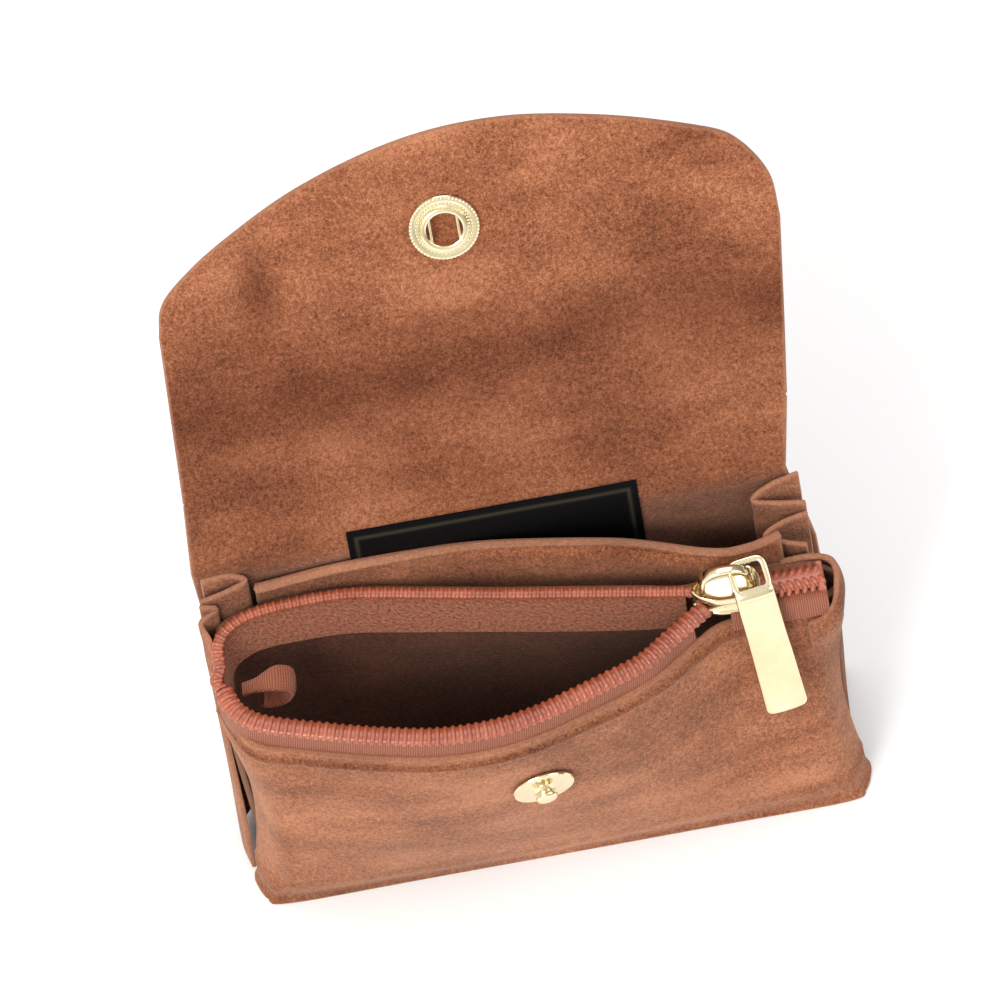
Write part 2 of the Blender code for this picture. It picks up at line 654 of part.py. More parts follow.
def snap_stud(material):
    """The stud: a shallow disc with a necked knob, and the washer that holds it inside the panel."""
    seat, out = stud_place()
    rise = STUD_RISE
    tip = SNAP_STANDOFF + 0.1 * mm
    disc = [(0, rise), (STUD_DISC, rise), (STUD_DISC, rise + 0.45 * mm), (STUD_DISC * 0.55, rise + 0.7 * mm)]
    neck = [(STUD_NECK, rise + 0.8 * mm), (STUD_NECK, tip - 1.2 * mm)]
    head = [(STUD_HEAD, tip - 0.7 * mm), (STUD_HEAD * 0.75, tip - 0.1 * mm), (0, tip)]
    stud = turned_pin("snap_stud", disc + neck + head, facing(seat, out), 20, material)
    washer = [(0, 0), (STUD_DISC * 0.8, 0), (STUD_DISC * 0.8, 0.4 * mm), (0, 0.6 * mm)]
    inner = seat - out * (SUEDE + 2.5 * GAP)
    return stud, turned_pin("snap_stud_back", washer, facing(inner, -out), 16, material)


def fold_point():
    """Y and Z of the first fold, on the back panel's top edge."""
    return np.array([back_y(BACK_HEIGHT), BACK_HEIGHT])


def closed_snap():
    """Y and Z of the snap's centre on the flap's middle surface when the flap is shut."""
    seat, _ = stud_place()
    arm = np.array([seat.y - BASE_FRONT, seat.z])
    c, s = math.cos(WALL_SWING), math.sin(WALL_SWING)
    shut = np.array([BASE_FRONT + arm[0] * c + arm[1] * s, arm[1] * c - arm[0] * s])
    out = np.array([-math.cos(CLOSED_TILT), math.sin(CLOSED_TILT)])
    return shut + out * (SNAP_STANDOFF + SUEDE / 2)


def flap_lengths():
    """The distance between the folds, and from the second fold to the snap, that make the flap shut."""
    snap = closed_snap()
    down = np.array([-math.sin(CLOSED_TILT), -math.cos(CLOSED_TILT)])
    to_snap = (BACK_HEIGHT - CLOSED_FOLD_DROP - snap[1]) / math.cos(CLOSED_TILT)
    second = snap - down * to_snap
    return float(np.linalg.norm(second - fold_point())), float(to_snap)


def flap_directions():
    """Unit vectors in Y and Z up the bridge and up the face at rest."""
    bridge = np.array([math.sin(BRIDGE_LEAN), math.cos(BRIDGE_LEAN)])
    face = np.array([math.sin(FACE_LEAN), math.cos(FACE_LEAN)])
    return bridge, face


def flap_bridge(material):
    """The strip of the flap between its two folds."""
    length, _ = flap_lengths()
    up, _ = flap_directions()
    left, right = -FLAP_HALF - 1 * mm, FLAP_HALF - 3.5 * mm
    curves = []
    for share in (0, 0.5, 1):
        y, z = fold_point() + up * (FOLD_GAP + share * (length - 2 * FOLD_GAP))
        wide = left + share * 1.5 * mm, right + share * 3 * mm
        curves.append([(wide[0], y, z), (0.5 * sum(wide), y, z), (wide[1], y, z)])
    return sheet_solid("flap_bridge", loft(curves, 8, 4), SUEDE, material)


def flap_edge():
    """The flap's arched lower edge, as (x, length from the second fold)."""
    low = FACE_LENGTH - CORNER_DROP
    corner = [(-1, 0.5), (-0.975, 0.74), (-0.92, 0.93)]
    arch = [(-0.72, 0.17), (-0.47, 0.54), (-0.14, 0.96), (0.22, 1), (0.54, 0.84), (0.83, 0.56), (0.95, 0.28)]
    points = [(x * FLAP_HALF, share * low) for x, share in corner]
    points += [(x * FLAP_HALF, low + share * CORNER_DROP) for x, share in arch]
    return points + [(FLAP_HALF, 0.88 * low), (FLAP_HALF, 0.5 * low)]


def flap_face(material):
    """The flap's face: strips from the second fold to the arched edge."""
    length, _ = flap_lengths()
    bridge, up = flap_directions()
    second = fold_point() + bridge * length
    edge = smooth_line(flap_edge(), 32)
    root = np.column_stack([np.linspace(-FLAP_HALF, FLAP_HALF - 0.5 * mm, 32), np.full(32, FOLD_GAP)])
    rows = []
    for share in np.linspace(0, 1, 7):
        flat = root + (edge - root) * share
        y, z = (second[:, None] + up[:, None] * flat[:, 1]).reshape(2, -1)
        rows.append(np.column_stack([flat[:, 0], y, z]))
    return sheet_solid("flap_face", np.array(rows), SUEDE, material)


def socket_place():
    """The snap's seat on the flap's inner face, in line with the stud, and the direction it looks in."""
    length, to_snap = flap_lengths()
    bridge, up = flap_directions()
    stud, along = stud_place()
    out = np.array([-up[1], up[0]])
    y, z = fold_point() + bridge * length + up * to_snap + out * SUEDE / 2
    return Vector((stud.x + along.x * SNAP_STANDOFF, y, z)), Vector((0, out[0], out[1]))


def snap_socket(material):
    """The socket ring, its two spring wires, and the cap on the flap's outer face."""
    seat, out = socket_place()
    place = facing(seat, out)
    low, top = GAP, GAP + SOCKET_DEPTH
    collar = SOCKET_HOLE + SOCKET_WALL
    ring = [(SOCKET_HOLE, low), (SOCKET_RADIUS, low), (SOCKET_RADIUS, low + 0.5 * mm)]
    ring += [(collar + 0.4 * mm, low + 0.75 * mm), (collar, top), (SOCKET_HOLE, top)]
    socket = turned("snap_socket", ring, place, 28, material)
    apart = STUD_HEAD + GAP + SPRING_WIRE
    reach = SOCKET_HOLE - SPRING_WIRE - GAP
    height = low + 0.9 * mm
    turn = np.linspace(math.pi, 2 * math.pi, 9)
    bow = [(apart * math.cos(a), reach * math.sin(a), height) for a in turn]
    path = [(-apart, 0.35 * reach, height), *bow, (apart, 0.35 * reach, height)]
    spring = tube("snap_spring", moved(path, place), SPRING_WIRE, SPRING_WIRE, 6, material)
    dome = [(0, 0), (CAP_RADIUS, 0), (CAP_RADIUS, 0.4 * mm), (CAP_RADIUS * 0.6, 0.9 * mm), (0, 1.1 * mm)]
    cap = turned_pin("snap_cap", dome, facing(seat - out * (SUEDE + GAP), -out), 20, material)
    return socket, spring, cap


def label(material):
    """The woven label on the back panel's inner face, below the fold."""
    top = BACK_HEIGHT - 1.2 * mm
    curves = []
    for share in (0, 0.5, 1):
        z = top - LABEL_HEIGHT * (1 - share)
        y = back_y(z) - SUEDE / 2 - GAP - LABEL / 2
        curves.append([(LABEL_X - LABEL_WIDTH / 2, y, z), (LABEL_X, y, z), (LABEL_X + LABEL_WIDTH / 2, y, z)])
    sheet_solid("inner_label", loft(curves, 4, 5), LABEL, material)


def build():
    clear_scene()
    suede = finish("tan_suede", (0.46, 0.17, 0.08), 0.95)
    tape = finish("zip_tape", (0.50, 0.14, 0.07), 0.85)
    coil = finish("nylon_coil", (0.60, 0.17, 0.09), 0.4)
    gold = finish("pale_gold", (0.86, 0.74, 0.45), 0.22, 1.0)
    satin = finish("black_satin", (0.012, 0.012, 0.013), 0.5)
    back_panel(suede)
    label(satin)
    divider_panel(suede)
    pocket_rear_panel(suede)
    base_panel(suede)
    gussets(suede)
    zip_closed(coil, tape)
    zip_tape_tail(tape)
    front_coil, front_tape = zip_rows(coil, tape)
    hang("front_foot", (0, BASE_FRONT, 0), [front_panel(suede), front_coil, front_tape, *snap_stud(gold)])
    slide = hang("slider_track", (SLIDER_X, 0, LIP_HEIGHT), [slider(gold), slider_bail(gold)])
    hang("pull_pivot", pull_pivot(), [pull_tab(gold)], slide)
    fold = fold_point()
    bridge, _ = flap_directions()
    length, _ = flap_lengths()
    first = hang("first_fold", (0, *fold), [flap_bridge(suede)])
    hang("second_fold", (0, *(fold + bridge * length)), [flap_face(suede), *snap_socket(gold)], first)


build()
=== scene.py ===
# %% [markdown]
# A small suede purse with a flap, an open zip pocket and a press snap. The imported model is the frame: it
# holds every size and every joint, and this file adds the looks around it. Everything is in metres, +Z is
# up and -Y is the front.

# %% Load the frame
import json
import math

import bpy
import numpy as np
from mathutils import Matrix, Vector

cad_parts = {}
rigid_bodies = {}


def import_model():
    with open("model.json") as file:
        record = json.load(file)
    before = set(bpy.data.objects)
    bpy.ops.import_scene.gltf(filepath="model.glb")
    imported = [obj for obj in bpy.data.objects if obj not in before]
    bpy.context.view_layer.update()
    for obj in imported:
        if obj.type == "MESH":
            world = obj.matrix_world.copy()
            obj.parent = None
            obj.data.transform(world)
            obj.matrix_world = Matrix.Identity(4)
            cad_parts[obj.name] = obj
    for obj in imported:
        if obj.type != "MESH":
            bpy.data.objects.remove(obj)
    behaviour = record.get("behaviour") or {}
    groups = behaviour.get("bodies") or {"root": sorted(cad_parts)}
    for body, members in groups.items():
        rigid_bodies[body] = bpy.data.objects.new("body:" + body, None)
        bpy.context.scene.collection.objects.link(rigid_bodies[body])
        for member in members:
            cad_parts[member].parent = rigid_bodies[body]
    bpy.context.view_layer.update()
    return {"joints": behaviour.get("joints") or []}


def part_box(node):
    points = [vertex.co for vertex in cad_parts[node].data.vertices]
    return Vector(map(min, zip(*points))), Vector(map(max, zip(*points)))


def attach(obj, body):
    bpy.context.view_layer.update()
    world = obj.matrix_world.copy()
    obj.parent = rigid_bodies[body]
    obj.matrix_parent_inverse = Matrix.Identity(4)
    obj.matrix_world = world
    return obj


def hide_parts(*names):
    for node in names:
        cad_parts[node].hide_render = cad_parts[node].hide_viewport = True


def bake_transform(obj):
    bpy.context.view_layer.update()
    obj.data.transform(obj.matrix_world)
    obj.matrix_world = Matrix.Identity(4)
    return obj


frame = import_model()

mm = 0.001

# %% [markdown]
# The driving sizes are read from the frame, so that the soft pieces fit the solids they stand for: the
# half width and the height of the zip, the mouth's ends, and the two folds of the flap. What the frame
# can't say, such as the thickness of the hide, is named here once.

# %% Sizes
def corner(node, end, axis):
    """One number of a node's box: end 0 is its lowest corner and 1 its highest."""
    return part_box(node)[end][axis]


joints = {joint["name"]: joint for joint in frame["joints"]}
first_fold = np.array(joints["flap_fold"]["pos_m"][1:])
second_fold = np.array(joints["flap_bend"]["pos_m"][1:])
half = corner("front_panel", 1, 0)
lip = (corner("zip_coil_closed", 0, 2) + corner("zip_coil_closed", 1, 2)) / 2
slider_low, slider_high = (np.array(corner_) for corner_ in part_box("slider_body"))
slider_x = (slider_low[0] + slider_high[0]) / 2
coil_half_width = 1.5 * mm
coil_half_height = 1.3 * mm
mouth_left = -half + 1.2 * mm
mouth_right = slider_low[0] - 1.0 * mm
mouth_front = -18.9 * mm
mouth_back = 12.2 * mm
rear_lip_rise = 2.5 * mm
closed_front = slider_high[1]
closed_back = slider_high[1] + 1.1 * mm
base_front = -7.5 * mm
base_back = 20 * mm
suede_thick = 1.2 * mm
inner_thick = 1.0 * mm
snap_x = -2 * mm
print("half width", round(half / mm, 1), "mm, zip at", round(lip / mm, 1), "mm")

# %% [markdown]
# A product picture of a small purse is taken from above and far away, so the camera has a long lens, looks
# 60 degrees down and is rolled a little. The light is a large soft key from the front left, a weaker one
# from the right, and a bright pale room.

# %% Camera, light and floor
def aim(obj, target):
    """Turn an object so that its -Z axis looks at a point."""
    direction = Vector(target) - obj.location
    obj.rotation_euler = direction.to_track_quat("-Z", "Y").to_euler()


def add_camera(target, elevation, distance, seen_width, roll):
    """A camera at an elevation in front of the target; the lens is sensor × distance ÷ the width it sees."""
    data = bpy.data.cameras.new("camera")
    camera = bpy.data.objects.new("camera", data)
    bpy.context.scene.collection.objects.link(camera)
    camera.location = Vector(target) + distance * Vector((0, -math.cos(elevation), math.sin(elevation)))
    data.sensor_width = 36
    data.lens = data.sensor_width * distance / seen_width
    data.clip_start = 0.01
    aim(camera, target)
    camera.rotation_euler = (camera.rotation_euler.to_matrix() @ Matrix.Rotation(roll, 3, "Z")).to_euler()
    bpy.context.scene.camera = camera
    return camera


def add_area(name, place, target, size, power, colour):
    """A square soft light."""
    data = bpy.data.lights.new(name, "AREA")
    data.size = size
    data.energy = power
    data.color = colour
    light = bpy.data.objects.new(name, data)
    light.location = place
    bpy.context.scene.collection.objects.link(light)
    aim(light, target)
    return light


add_camera((-0.0008, 0.015, 0.0888), math.radians(60), 5.0, 0.176, math.radians(-10.3))
centre = (0, 0.01, 0.07)
add_area("key", (-0.50, -0.70, 0.80), centre, 0.50, 8.5, (1, 0.98, 0.95))
add_area("fill", (0.80, -0.20, 0.80), centre, 0.80, 4.0, (0.97, 0.98, 1))
add_area("top", (0.10, 0.45, 1.05), centre, 0.70, 3.0, (1, 1, 1))

world = bpy.data.worlds.new("room")
world.use_nodes = True
room = world.node_tree
facing_ = room.nodes.new("ShaderNodeVectorMath")
facing_.operation = "DOT_PRODUCT"
facing_.inputs[1].default_value = (-0.72, -0.42, 0.55)
room.links.new(room.nodes.new("ShaderNodeTexCoord").outputs["Generated"], facing_.inputs[0])
glow = room.nodes.new("ShaderNodeMapRange")
glow.inputs["From Min"].default_value = -0.5
glow.inputs["From Max"].default_value = 0.9
glow.inputs["To Min"].default_value = 0.30
glow.inputs["To Max"].default_value = 1.15
room.links.new(facing_.outputs["Value"], glow.inputs["Value"])
room.links.new(glow.outputs[0], room.nodes["Background"].inputs["Strength"])
room.nodes["Background"].inputs["Color"].default_value = (1, 1, 1, 1)
bpy.context.scene.world = world
bpy.context.scene.view_settings.view_transform = "Standard"

# %% [markdown]
# Materials are small node trees. Three helpers keep them short: one adds a node and sets its sockets, one
# adds a colour ramp, and one starts a Principled material. Patterns are read from Object coordinates on
# the hide and the coil, and from each strip's own UV map on the tape, where 1 UV unit is 1 mm of the strip.

# %% Material helpers
def node(tree, kind, **sockets):
    """Add a shader node; each named socket takes a value, or another node's output."""
    made = tree.nodes.new(kind)
    for name, value in sockets.items():
        socket = made.inputs[int(name[1:])] if name[0] == "_" else made.inputs[name.replace("_", " ")]
        if isinstance(value, bpy.types.NodeSocket):
            tree.links.new(value, socket)
        else:
            socket.default_value = value
    return made


def ramp(tree, value, stops):
    """A colour ramp through (place, colour) stops."""
    made = tree.nodes.new("ShaderNodeValToRGB")
    tree.links.new(value, made.inputs[0])
    elements = made.color_ramp.elements
    while len(elements) < len(stops):
        elements.new(0.5)
    for element, (place, colour) in zip(elements, stops):
        element.position = place
        element.color = (*colour, 1)
    return made.outputs[0]


def math_node(tree, operation, a, b=0.0, clamp=False):
    """One arithmetic step between two values."""
    made = node(tree, "ShaderNodeMath", _0=a, _1=b)
    made.operation = operation
    made.use_clamp = clamp
    return made.outputs[0]


def mix(tree, kind, amount, a, b):
    """Mix two colours: MIX, MULTIPLY, OVERLAY and so on."""
    made = tree.nodes.new("ShaderNodeMix")
    made.data_type = "RGBA"
    made.blend_type = kind
    for socket, value in ((made.inputs[0], amount), (made.inputs[6], a), (made.inputs[7], b)):
        if isinstance(value, bpy.types.NodeSocket):
            tree.links.new(value, socket)
        else:
            socket.default_value = value if socket is made.inputs[0] else (*value, 1)
    return made.outputs[2]


def noise(tree, coordinates, scale, detail=3.0, roughness=0.5, stretch=(1, 1, 1), turn=(0, 0, 0)):
    """Noise on the coordinates, stretched and turned by a Mapping node."""
    mapped = node(tree, "ShaderNodeMapping", Vector=coordinates, Scale=stretch, Rotation=turn)
    made = node(tree, "ShaderNodeTexNoise", Vector=mapped.outputs[0], Scale=scale, Detail=detail)
    made.inputs["Roughness"].default_value = roughness
    return made.outputs[0]


def principled(name, **sockets):
    """A material with one Principled BSDF; returns the material, its tree and the shader."""
    material = bpy.data.materials.new(name)
    material.use_nodes = True
    tree = material.node_tree
    shader = tree.nodes["Principled BSDF"]
    for key, value in sockets.items():
        shader.inputs[key.replace("_", " ")].default_value = value
    return material, tree, shader


def bump(tree, shader, height, distance, strength=1.0):
    """Let a height pattern tilt the shading."""
    made = node(tree, "ShaderNodeBump", Height=height, Distance=distance, Strength=strength)
    tree.links.new(made.outputs[0], shader.inputs["Normal"])


def attribute(tree, name):
    """A number painted on the mesh's points."""
    made = tree.nodes.new("ShaderNodeAttribute")
    made.attribute_name = name
    return made.outputs["Fac"]


# %% [markdown]
# Suede is leather with its fibres raised. Up close it is a fine speckle of fibre tips, light and dark;
# from further away it shows broad patches where the nap was brushed one way or the other. So the colour is
# a speckle of about 0.4 mm over blotches of 10 to 25 mm, very rough, with a weak warm sheen. Two painted
# numbers help: "edge" is 1 on a cut edge, which shows the paler inside of the hide, and the other is painted
# shade, which darkens the colour in creases, folds and dents, low on the flap and in the pocket.

# %% Suede
def suede(name, dark, middle, light, pale_edge):
    """Suede in four colours, darkened by painted shade where the mesh's shade number is high."""
    material, tree, shader = principled(name, Roughness=0.95, Sheen_Weight=0.22, Sheen_Roughness=0.45)
    shader.inputs["Sheen Tint"].default_value = (1.0, 0.78, 0.62, 1)
    shader.inputs["Specular IOR Level"].default_value = 0.15
    place = tree.nodes.new("ShaderNodeTexCoord").outputs["Object"]
    fibres = noise(tree, place, 2600, 2.0, 0.65)
    tufts = noise(tree, place, 1300, 2.0, 0.6, (1, 1, 0.7))
    brushed = noise(tree, place, 70, 3.0, 0.55, (0.7, 1, 1.6), (0.3, 0.2, 0.5))
    patches = noise(tree, place, 34, 2.0, 0.5, (1, 1, 1.3), (0.5, 0.1, 0.3))
    speckle = math_node(tree, "ADD", math_node(tree, "MULTIPLY", fibres, 0.62), math_node(tree, "MULTIPLY", tufts, 0.38))
    broad = math_node(tree, "ADD", math_node(tree, "MULTIPLY", brushed, 0.5), math_node(tree, "MULTIPLY", patches, 0.5))
    value = math_node(tree, "ADD", math_node(tree, "MULTIPLY", speckle, 0.58), math_node(tree, "MULTIPLY", broad, 0.42))
    colour = ramp(tree, value, [(0.39, dark), (0.5, middle), (0.61, light)])
    # Painted shade: the colour is multiplied towards dark brown by the shade number painted on the mesh.
    colour = mix(tree, "MULTIPLY", math_node(tree, "MULTIPLY", attribute(tree, "worn"), 1.0, True), colour, (0.45, 0.36, 0.32))
    colour = mix(tree, "MIX", math_node(tree, "MULTIPLY", attribute(tree, "edge"), 0.5, True), colour, pale_edge)
    tree.links.new(colour, shader.inputs["Base Color"])
    bump(tree, shader, speckle, 0.0006, 0.5)
    return material


tan_suede = suede("tan_suede", (0.105, 0.030, 0.013), (0.262, 0.090, 0.040), (0.45, 0.185, 0.095), (0.44, 0.22, 0.135))
# A darker copy of the tan suede: painted shade for the pocket's rear wall, which is the same hide lying in shade.
inner_suede = suede("inner_suede", (0.045, 0.014, 0.008), (0.095, 0.031, 0.017), (0.16, 0.058, 0.032), (0.35, 0.18, 0.11))


# %% [markdown]
# The zip tape is a terracotta weave: fine ribs across the strip near the coil, and a looser, speckled
# fleece of loops on the wide face. The coil is solid nylon of the same dye, and shines.

# %% Tape, nylon and satin
def woven(name, dark, light, rib_mm, loop_scale, share, roughness=0.85):
    """Woven strip: ribs across its length, u, crossed by finer threads along its height, v."""
    material, tree, shader = principled(name, Roughness=roughness, Sheen_Weight=0.25, Sheen_Roughness=0.4)
    shader.inputs["Sheen Tint"].default_value = (1.0, 0.72, 0.55, 1)
    strip = tree.nodes.new("ShaderNodeTexCoord").outputs["UV"]
    ribs = node(tree, "ShaderNodeTexWave", Vector=strip, Scale=0.32 / rib_mm, Distortion=0.6, Detail=1.0)
    ribs.wave_type = "BANDS"
    ribs.bands_direction = "X"
    picks = node(tree, "ShaderNodeTexWave", Vector=strip, Scale=0.5 / rib_mm, Distortion=1.0, Detail=1.0)
    picks.bands_direction = "Y"
    loops = noise(tree, strip, loop_scale, 1.5, 0.6, (1, 1.25, 1), (0, 0, 0.5))
    weave = math_node(tree, "MULTIPLY", ribs.outputs["Fac"], picks.outputs["Fac"])
    value = math_node(tree, "ADD", math_node(tree, "MULTIPLY", weave, 1 - share), math_node(tree, "MULTIPLY", loops, share))
    tree.links.new(ramp(tree, value, [(0.25, dark), (0.72, light)]), shader.inputs["Base Color"])
    bump(tree, shader, value, 0.0004, 0.8)
    return material


rear_weave = woven("tape_loops", (0.095, 0.022, 0.010), (0.46, 0.165, 0.088), 0.42, 1.7, 0.85)
rib_weave = woven("tape_ribs", (0.22, 0.052, 0.024), (0.62, 0.22, 0.115), 0.42, 2.6, 0.25)


def nylon():
    """Glossy nylon with a little coat."""
    material, tree, shader = principled("terracotta_nylon", Roughness=0.30, Coat_Weight=0.35, Coat_Roughness=0.18)
    place = tree.nodes.new("ShaderNodeTexCoord").outputs["Object"]
    tone = ramp(tree, noise(tree, place, 300, 2.0), [(0.3, (0.27, 0.062, 0.028)), (0.7, (0.40, 0.105, 0.052))])
    tree.links.new(tone, shader.inputs["Base Color"])
    shader.inputs["Subsurface Weight"].default_value = 0.08
    shader.inputs["Subsurface Radius"].default_value = (0.0015, 0.0006, 0.0003)
    return material


def gold():
    """Pale gold plating: polished metal whose roughness wanders a little, with faint long ripples."""
    material, tree, shader = principled("pale_gold", Metallic=1.0, Roughness=0.14)
    place = tree.nodes.new("ShaderNodeTexCoord").outputs["Object"]
    smears = noise(tree, place, 160, 3.0, 0.6)
    tree.links.new(ramp(tree, smears, [(0.3, (0.74, 0.62, 0.38)), (0.7, (0.84, 0.74, 0.50))]), shader.inputs["Base Color"])
    rough = node(tree, "ShaderNodeMapRange", Value=smears)
    rough.inputs["To Min"].default_value = 0.10
    rough.inputs["To Max"].default_value = 0.22
    tree.links.new(rough.outputs[0], shader.inputs["Roughness"])
    bump(tree, shader, noise(tree, place, 220, 1.0), 0.0004, 0.12)
    return material


def satin():
    """Black satin ribbon: a fine warp that catches a soft highlight."""
    material, tree, shader = principled("black_satin", Roughness=0.65, Specular_IOR_Level=0.05)
    strip = tree.nodes.new("ShaderNodeTexCoord").outputs["UV"]
    warp = node(tree, "ShaderNodeTexWave", Vector=strip, Scale=1.3, Distortion=0.4, Detail=1.0)
    warp.bands_direction = "Y"
    frame_line = attribute(tree, "line")
    colour = ramp(tree, warp.outputs["Fac"], [(0.2, (0.0015, 0.0015, 0.0018)), (0.8, (0.005, 0.005, 0.005))])
    colour = mix(tree, "MIX", frame_line, colour, (0.035, 0.03, 0.02))
    tree.links.new(colour, shader.inputs["Base Color"])
    bump(tree, shader, warp.outputs["Fac"], 0.0001, 0.5)
    return material


terracotta_nylon = nylon()
pale_gold = gold()
black_satin = satin()


def plain_floor():
    """A matt, almost white floor."""
    material, tree, shader = principled("floor_card", Roughness=0.9)
    place = tree.nodes.new("ShaderNodeTexCoord").outputs["Object"]
    tone = ramp(tree, noise(tree, place, 8), [(0.3, (0.90, 0.90, 0.895)), (0.7, (0.92, 0.92, 0.915))])
    tree.links.new(tone, shader.inputs["Base Color"])
    return material


floor_mesh = bpy.data.meshes.new("floor")
floor_mesh.from_pydata([(-3, -3, 0), (3, -3, 0), (3, 3, 0), (-3, 3, 0)], [], [(0, 1, 2, 3)])
floor = bpy.data.objects.new("floor", floor_mesh)
floor_mesh.materials.append(plain_floor())
bpy.context.scene.collection.objects.link(floor)

# %% [markdown]
# Every soft wall here is a surface of two parameters: smooth curves across the purse, joined by smooth
# curves up it. Catmull-Rom curves are used, because they pass through the points that shape them.

# %% Curves and surfaces
def spline(knots, at):
    """Catmull-Rom: the cubic between knots b and c is fixed by b, c and the slopes (c-a)/2 and (d-b)/2."""
    k = np.asarray(knots, float)
    k = np.concatenate([[2 * k[0] - k[1]], k, [2 * k[-1] - k[-2]]])
    low = np.clip(np.floor(at).astype(int), 0, len(k) - 4)
    t = (np.asarray(at) - low).reshape(-1, *[1] * (k.ndim - 1))
    a, b, c, d = k[low], k[low + 1], k[low + 2], k[low + 3]
    return (2 * b + (c - a) * t + (2 * a - 5 * b + 4 * c - d) * t**2 + (3 * b - a - 3 * c + d) * t**3) / 2


def lengths(line):
    """The distance along a line to each of its points."""
    return np.concatenate([[0], np.cumsum(np.linalg.norm(np.diff(line, axis=0), axis=1))])


def smooth_line(points, count):
    """A spline through the points, read at equal steps of length."""
    fine = spline(points, np.linspace(0, len(points) - 1, 24 * len(points)))
    along = lengths(fine)
    at = np.linspace(0, along[-1], count)
    return np.column_stack([np.interp(at, along, fine[:, k]) for k in range(fine.shape[1])])


def loft(curves, columns, rows):
    """A grid of points: smooth curves across, lowest first, and a spline through them going up."""
    lines = np.array([smooth_line(curve, columns) for curve in curves])
    return spline(lines, np.linspace(0, len(curves) - 1, rows))


def unit(vectors):
    """Vectors at length 1."""
    return vectors / np.maximum(np.linalg.norm(vectors, axis=-1, keepdims=True), 1e-12)


def normals(grid):
    """Unit normals of a grid: the slope across × the slope up."""
    return unit(np.cross(np.gradient(grid, axis=1), np.gradient(grid, axis=0)))


def step(x, low, high):
    """0 below low, 1 above high, and 3t² - 2t³ between them."""
    t = np.clip((np.asarray(x, float) - low) / (high - low), 0, 1)
    return t * t * (3 - 2 * t)


def hump(x, middle, width):
    """A bell: e to the power of -(distance ÷ width)² ÷ 2."""
    return np.exp(-0.5 * ((np.asarray(x, float) - middle) / width) ** 2)


def ripples(x, y, seed, waves=7):
    """Gentle unevenness between about -1 and 1: a sum of sine waves in seeded directions."""
    draw = np.random.default_rng(seed)
    total = 0 * x
    for k in range(waves):
        angle, phase = draw.uniform(0, 2 * np.pi, 2)
        pitch = draw.uniform(0.6, 1.7)
        total = total + np.sin(pitch * (x * np.cos(angle) + y * np.sin(angle)) + phase)
    return total / waves


# %% Meshes
def put(name, points, faces, material, uv=None, marks=None):
    """Put points and faces into a mesh object. uv and marks are given for each point."""
    mesh = bpy.data.meshes.new(name)
    mesh.from_pydata(np.asarray(points, float).tolist(), [], np.asarray(faces).tolist())
    if uv is not None:
        layer = mesh.uv_layers.new(name="strip")
        corner_point = np.empty(len(mesh.loops), np.int32)
        mesh.loops.foreach_get("vertex_index", corner_point)
        layer.data.foreach_set("uv", np.asarray(uv, np.float32)[corner_point].ravel())
    for key, values in (marks or {}).items():
        mesh.attributes.new(key, "FLOAT", "POINT").data.foreach_set("value", np.asarray(values, np.float32).ravel())
    mesh.materials.append(material)
    mesh.shade_smooth()
    mesh.set_sharp_from_angle(angle=math.radians(50))
    obj = bpy.data.objects.new(name, mesh)
    bpy.context.scene.collection.objects.link(obj)
    return obj


def quads(rows, columns, around=False):
    """The faces of a grid of points; around joins the last column to the first."""
    r, c = np.meshgrid(np.arange(rows - 1), np.arange(columns if around else columns - 1), indexing="ij")
    a, b = r * columns + c, r * columns + (c + 1) % columns
    return np.stack([a, b, b + columns, a + columns], -1).reshape(-1, 4)


def skin(name, grid, thickness, material, worn=0.0, line=0.0, joined=None):
    """A closed sheet: the grid moved half its thickness each way, its rim rounded by a row pushed outwards.

    joined is the row, 0 or -1, that meets another piece of the same hide, and so is neither round nor pale.
    """
    rows, columns = grid.shape[:2]
    normal = normals(grid)
    shift = normal * np.broadcast_to(np.asarray(thickness, float) / 2, grid.shape[:2])[..., None]
    index = np.arange(rows * columns).reshape(rows, columns)
    rim = np.concatenate([index[0], index[1:, -1], index[-1, -2::-1], index[-2:0:-1, 0]])
    flat, flat_normal, flat_shift = grid.reshape(-1, 3), normal.reshape(-1, 3), shift.reshape(-1, 3)
    along = np.roll(flat[rim], -1, axis=0) - np.roll(flat[rim], 1, axis=0)
    bulge = unit(np.cross(along, flat_normal[rim])) * 0.45 * np.linalg.norm(flat_shift[rim], axis=1, keepdims=True)
    real = ~np.isin(rim, index[joined]) if joined is not None else np.ones(len(rim), bool)
    points = np.vstack([flat + flat_shift, flat - flat_shift, flat[rim] + bulge * real[:, None]])
    count, turn = rows * columns, np.arange(len(rim))
    middle, after, ahead = 2 * count + turn, 2 * count + np.roll(turn, -1), np.roll(rim, -1)
    faces = quads(rows, columns)
    front_rim = np.stack([ahead, rim, middle, after], -1)
    back_rim = np.stack([after, middle, rim + count, ahead + count], -1)
    u = np.hstack([np.zeros((rows, 1)), np.cumsum(np.linalg.norm(np.diff(grid, axis=1), axis=2), axis=1)])
    v = np.vstack([np.zeros((1, columns)), np.cumsum(np.linalg.norm(np.diff(grid, axis=0), axis=2), axis=0)])
    uv = np.stack([u, v], -1).reshape(-1, 2) / mm
    # The first number is painted shade for the suede, the second the label's border line; both go to both faces and the
    # rim.
    spread = [np.broadcast_to(values, grid.shape[:2]).ravel() for values in (worn, line)]
    spread = [np.concatenate([values, values, values[rim]]) for values in spread]
    edge = np.concatenate([np.zeros(2 * count), 1.0 * real])
    edge[rim], edge[rim + count] = 0.6 * real, 0.6 * real
    marks = {"edge": edge, "worn": spread[0], "line": spread[1]}
    all_faces = np.vstack([faces, faces[:, ::-1] + count, front_rim, back_rim])
    return put(name, points, all_faces, material, np.vstack([uv, uv, uv[rim]]), marks)


def cloth(obj, stands_for, body=None):
    """Hide the parts a sheet stands for, and let it ride on a body when one is given."""
    if stands_for:
        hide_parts(*stands_for)
    if body:
        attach(obj, body)


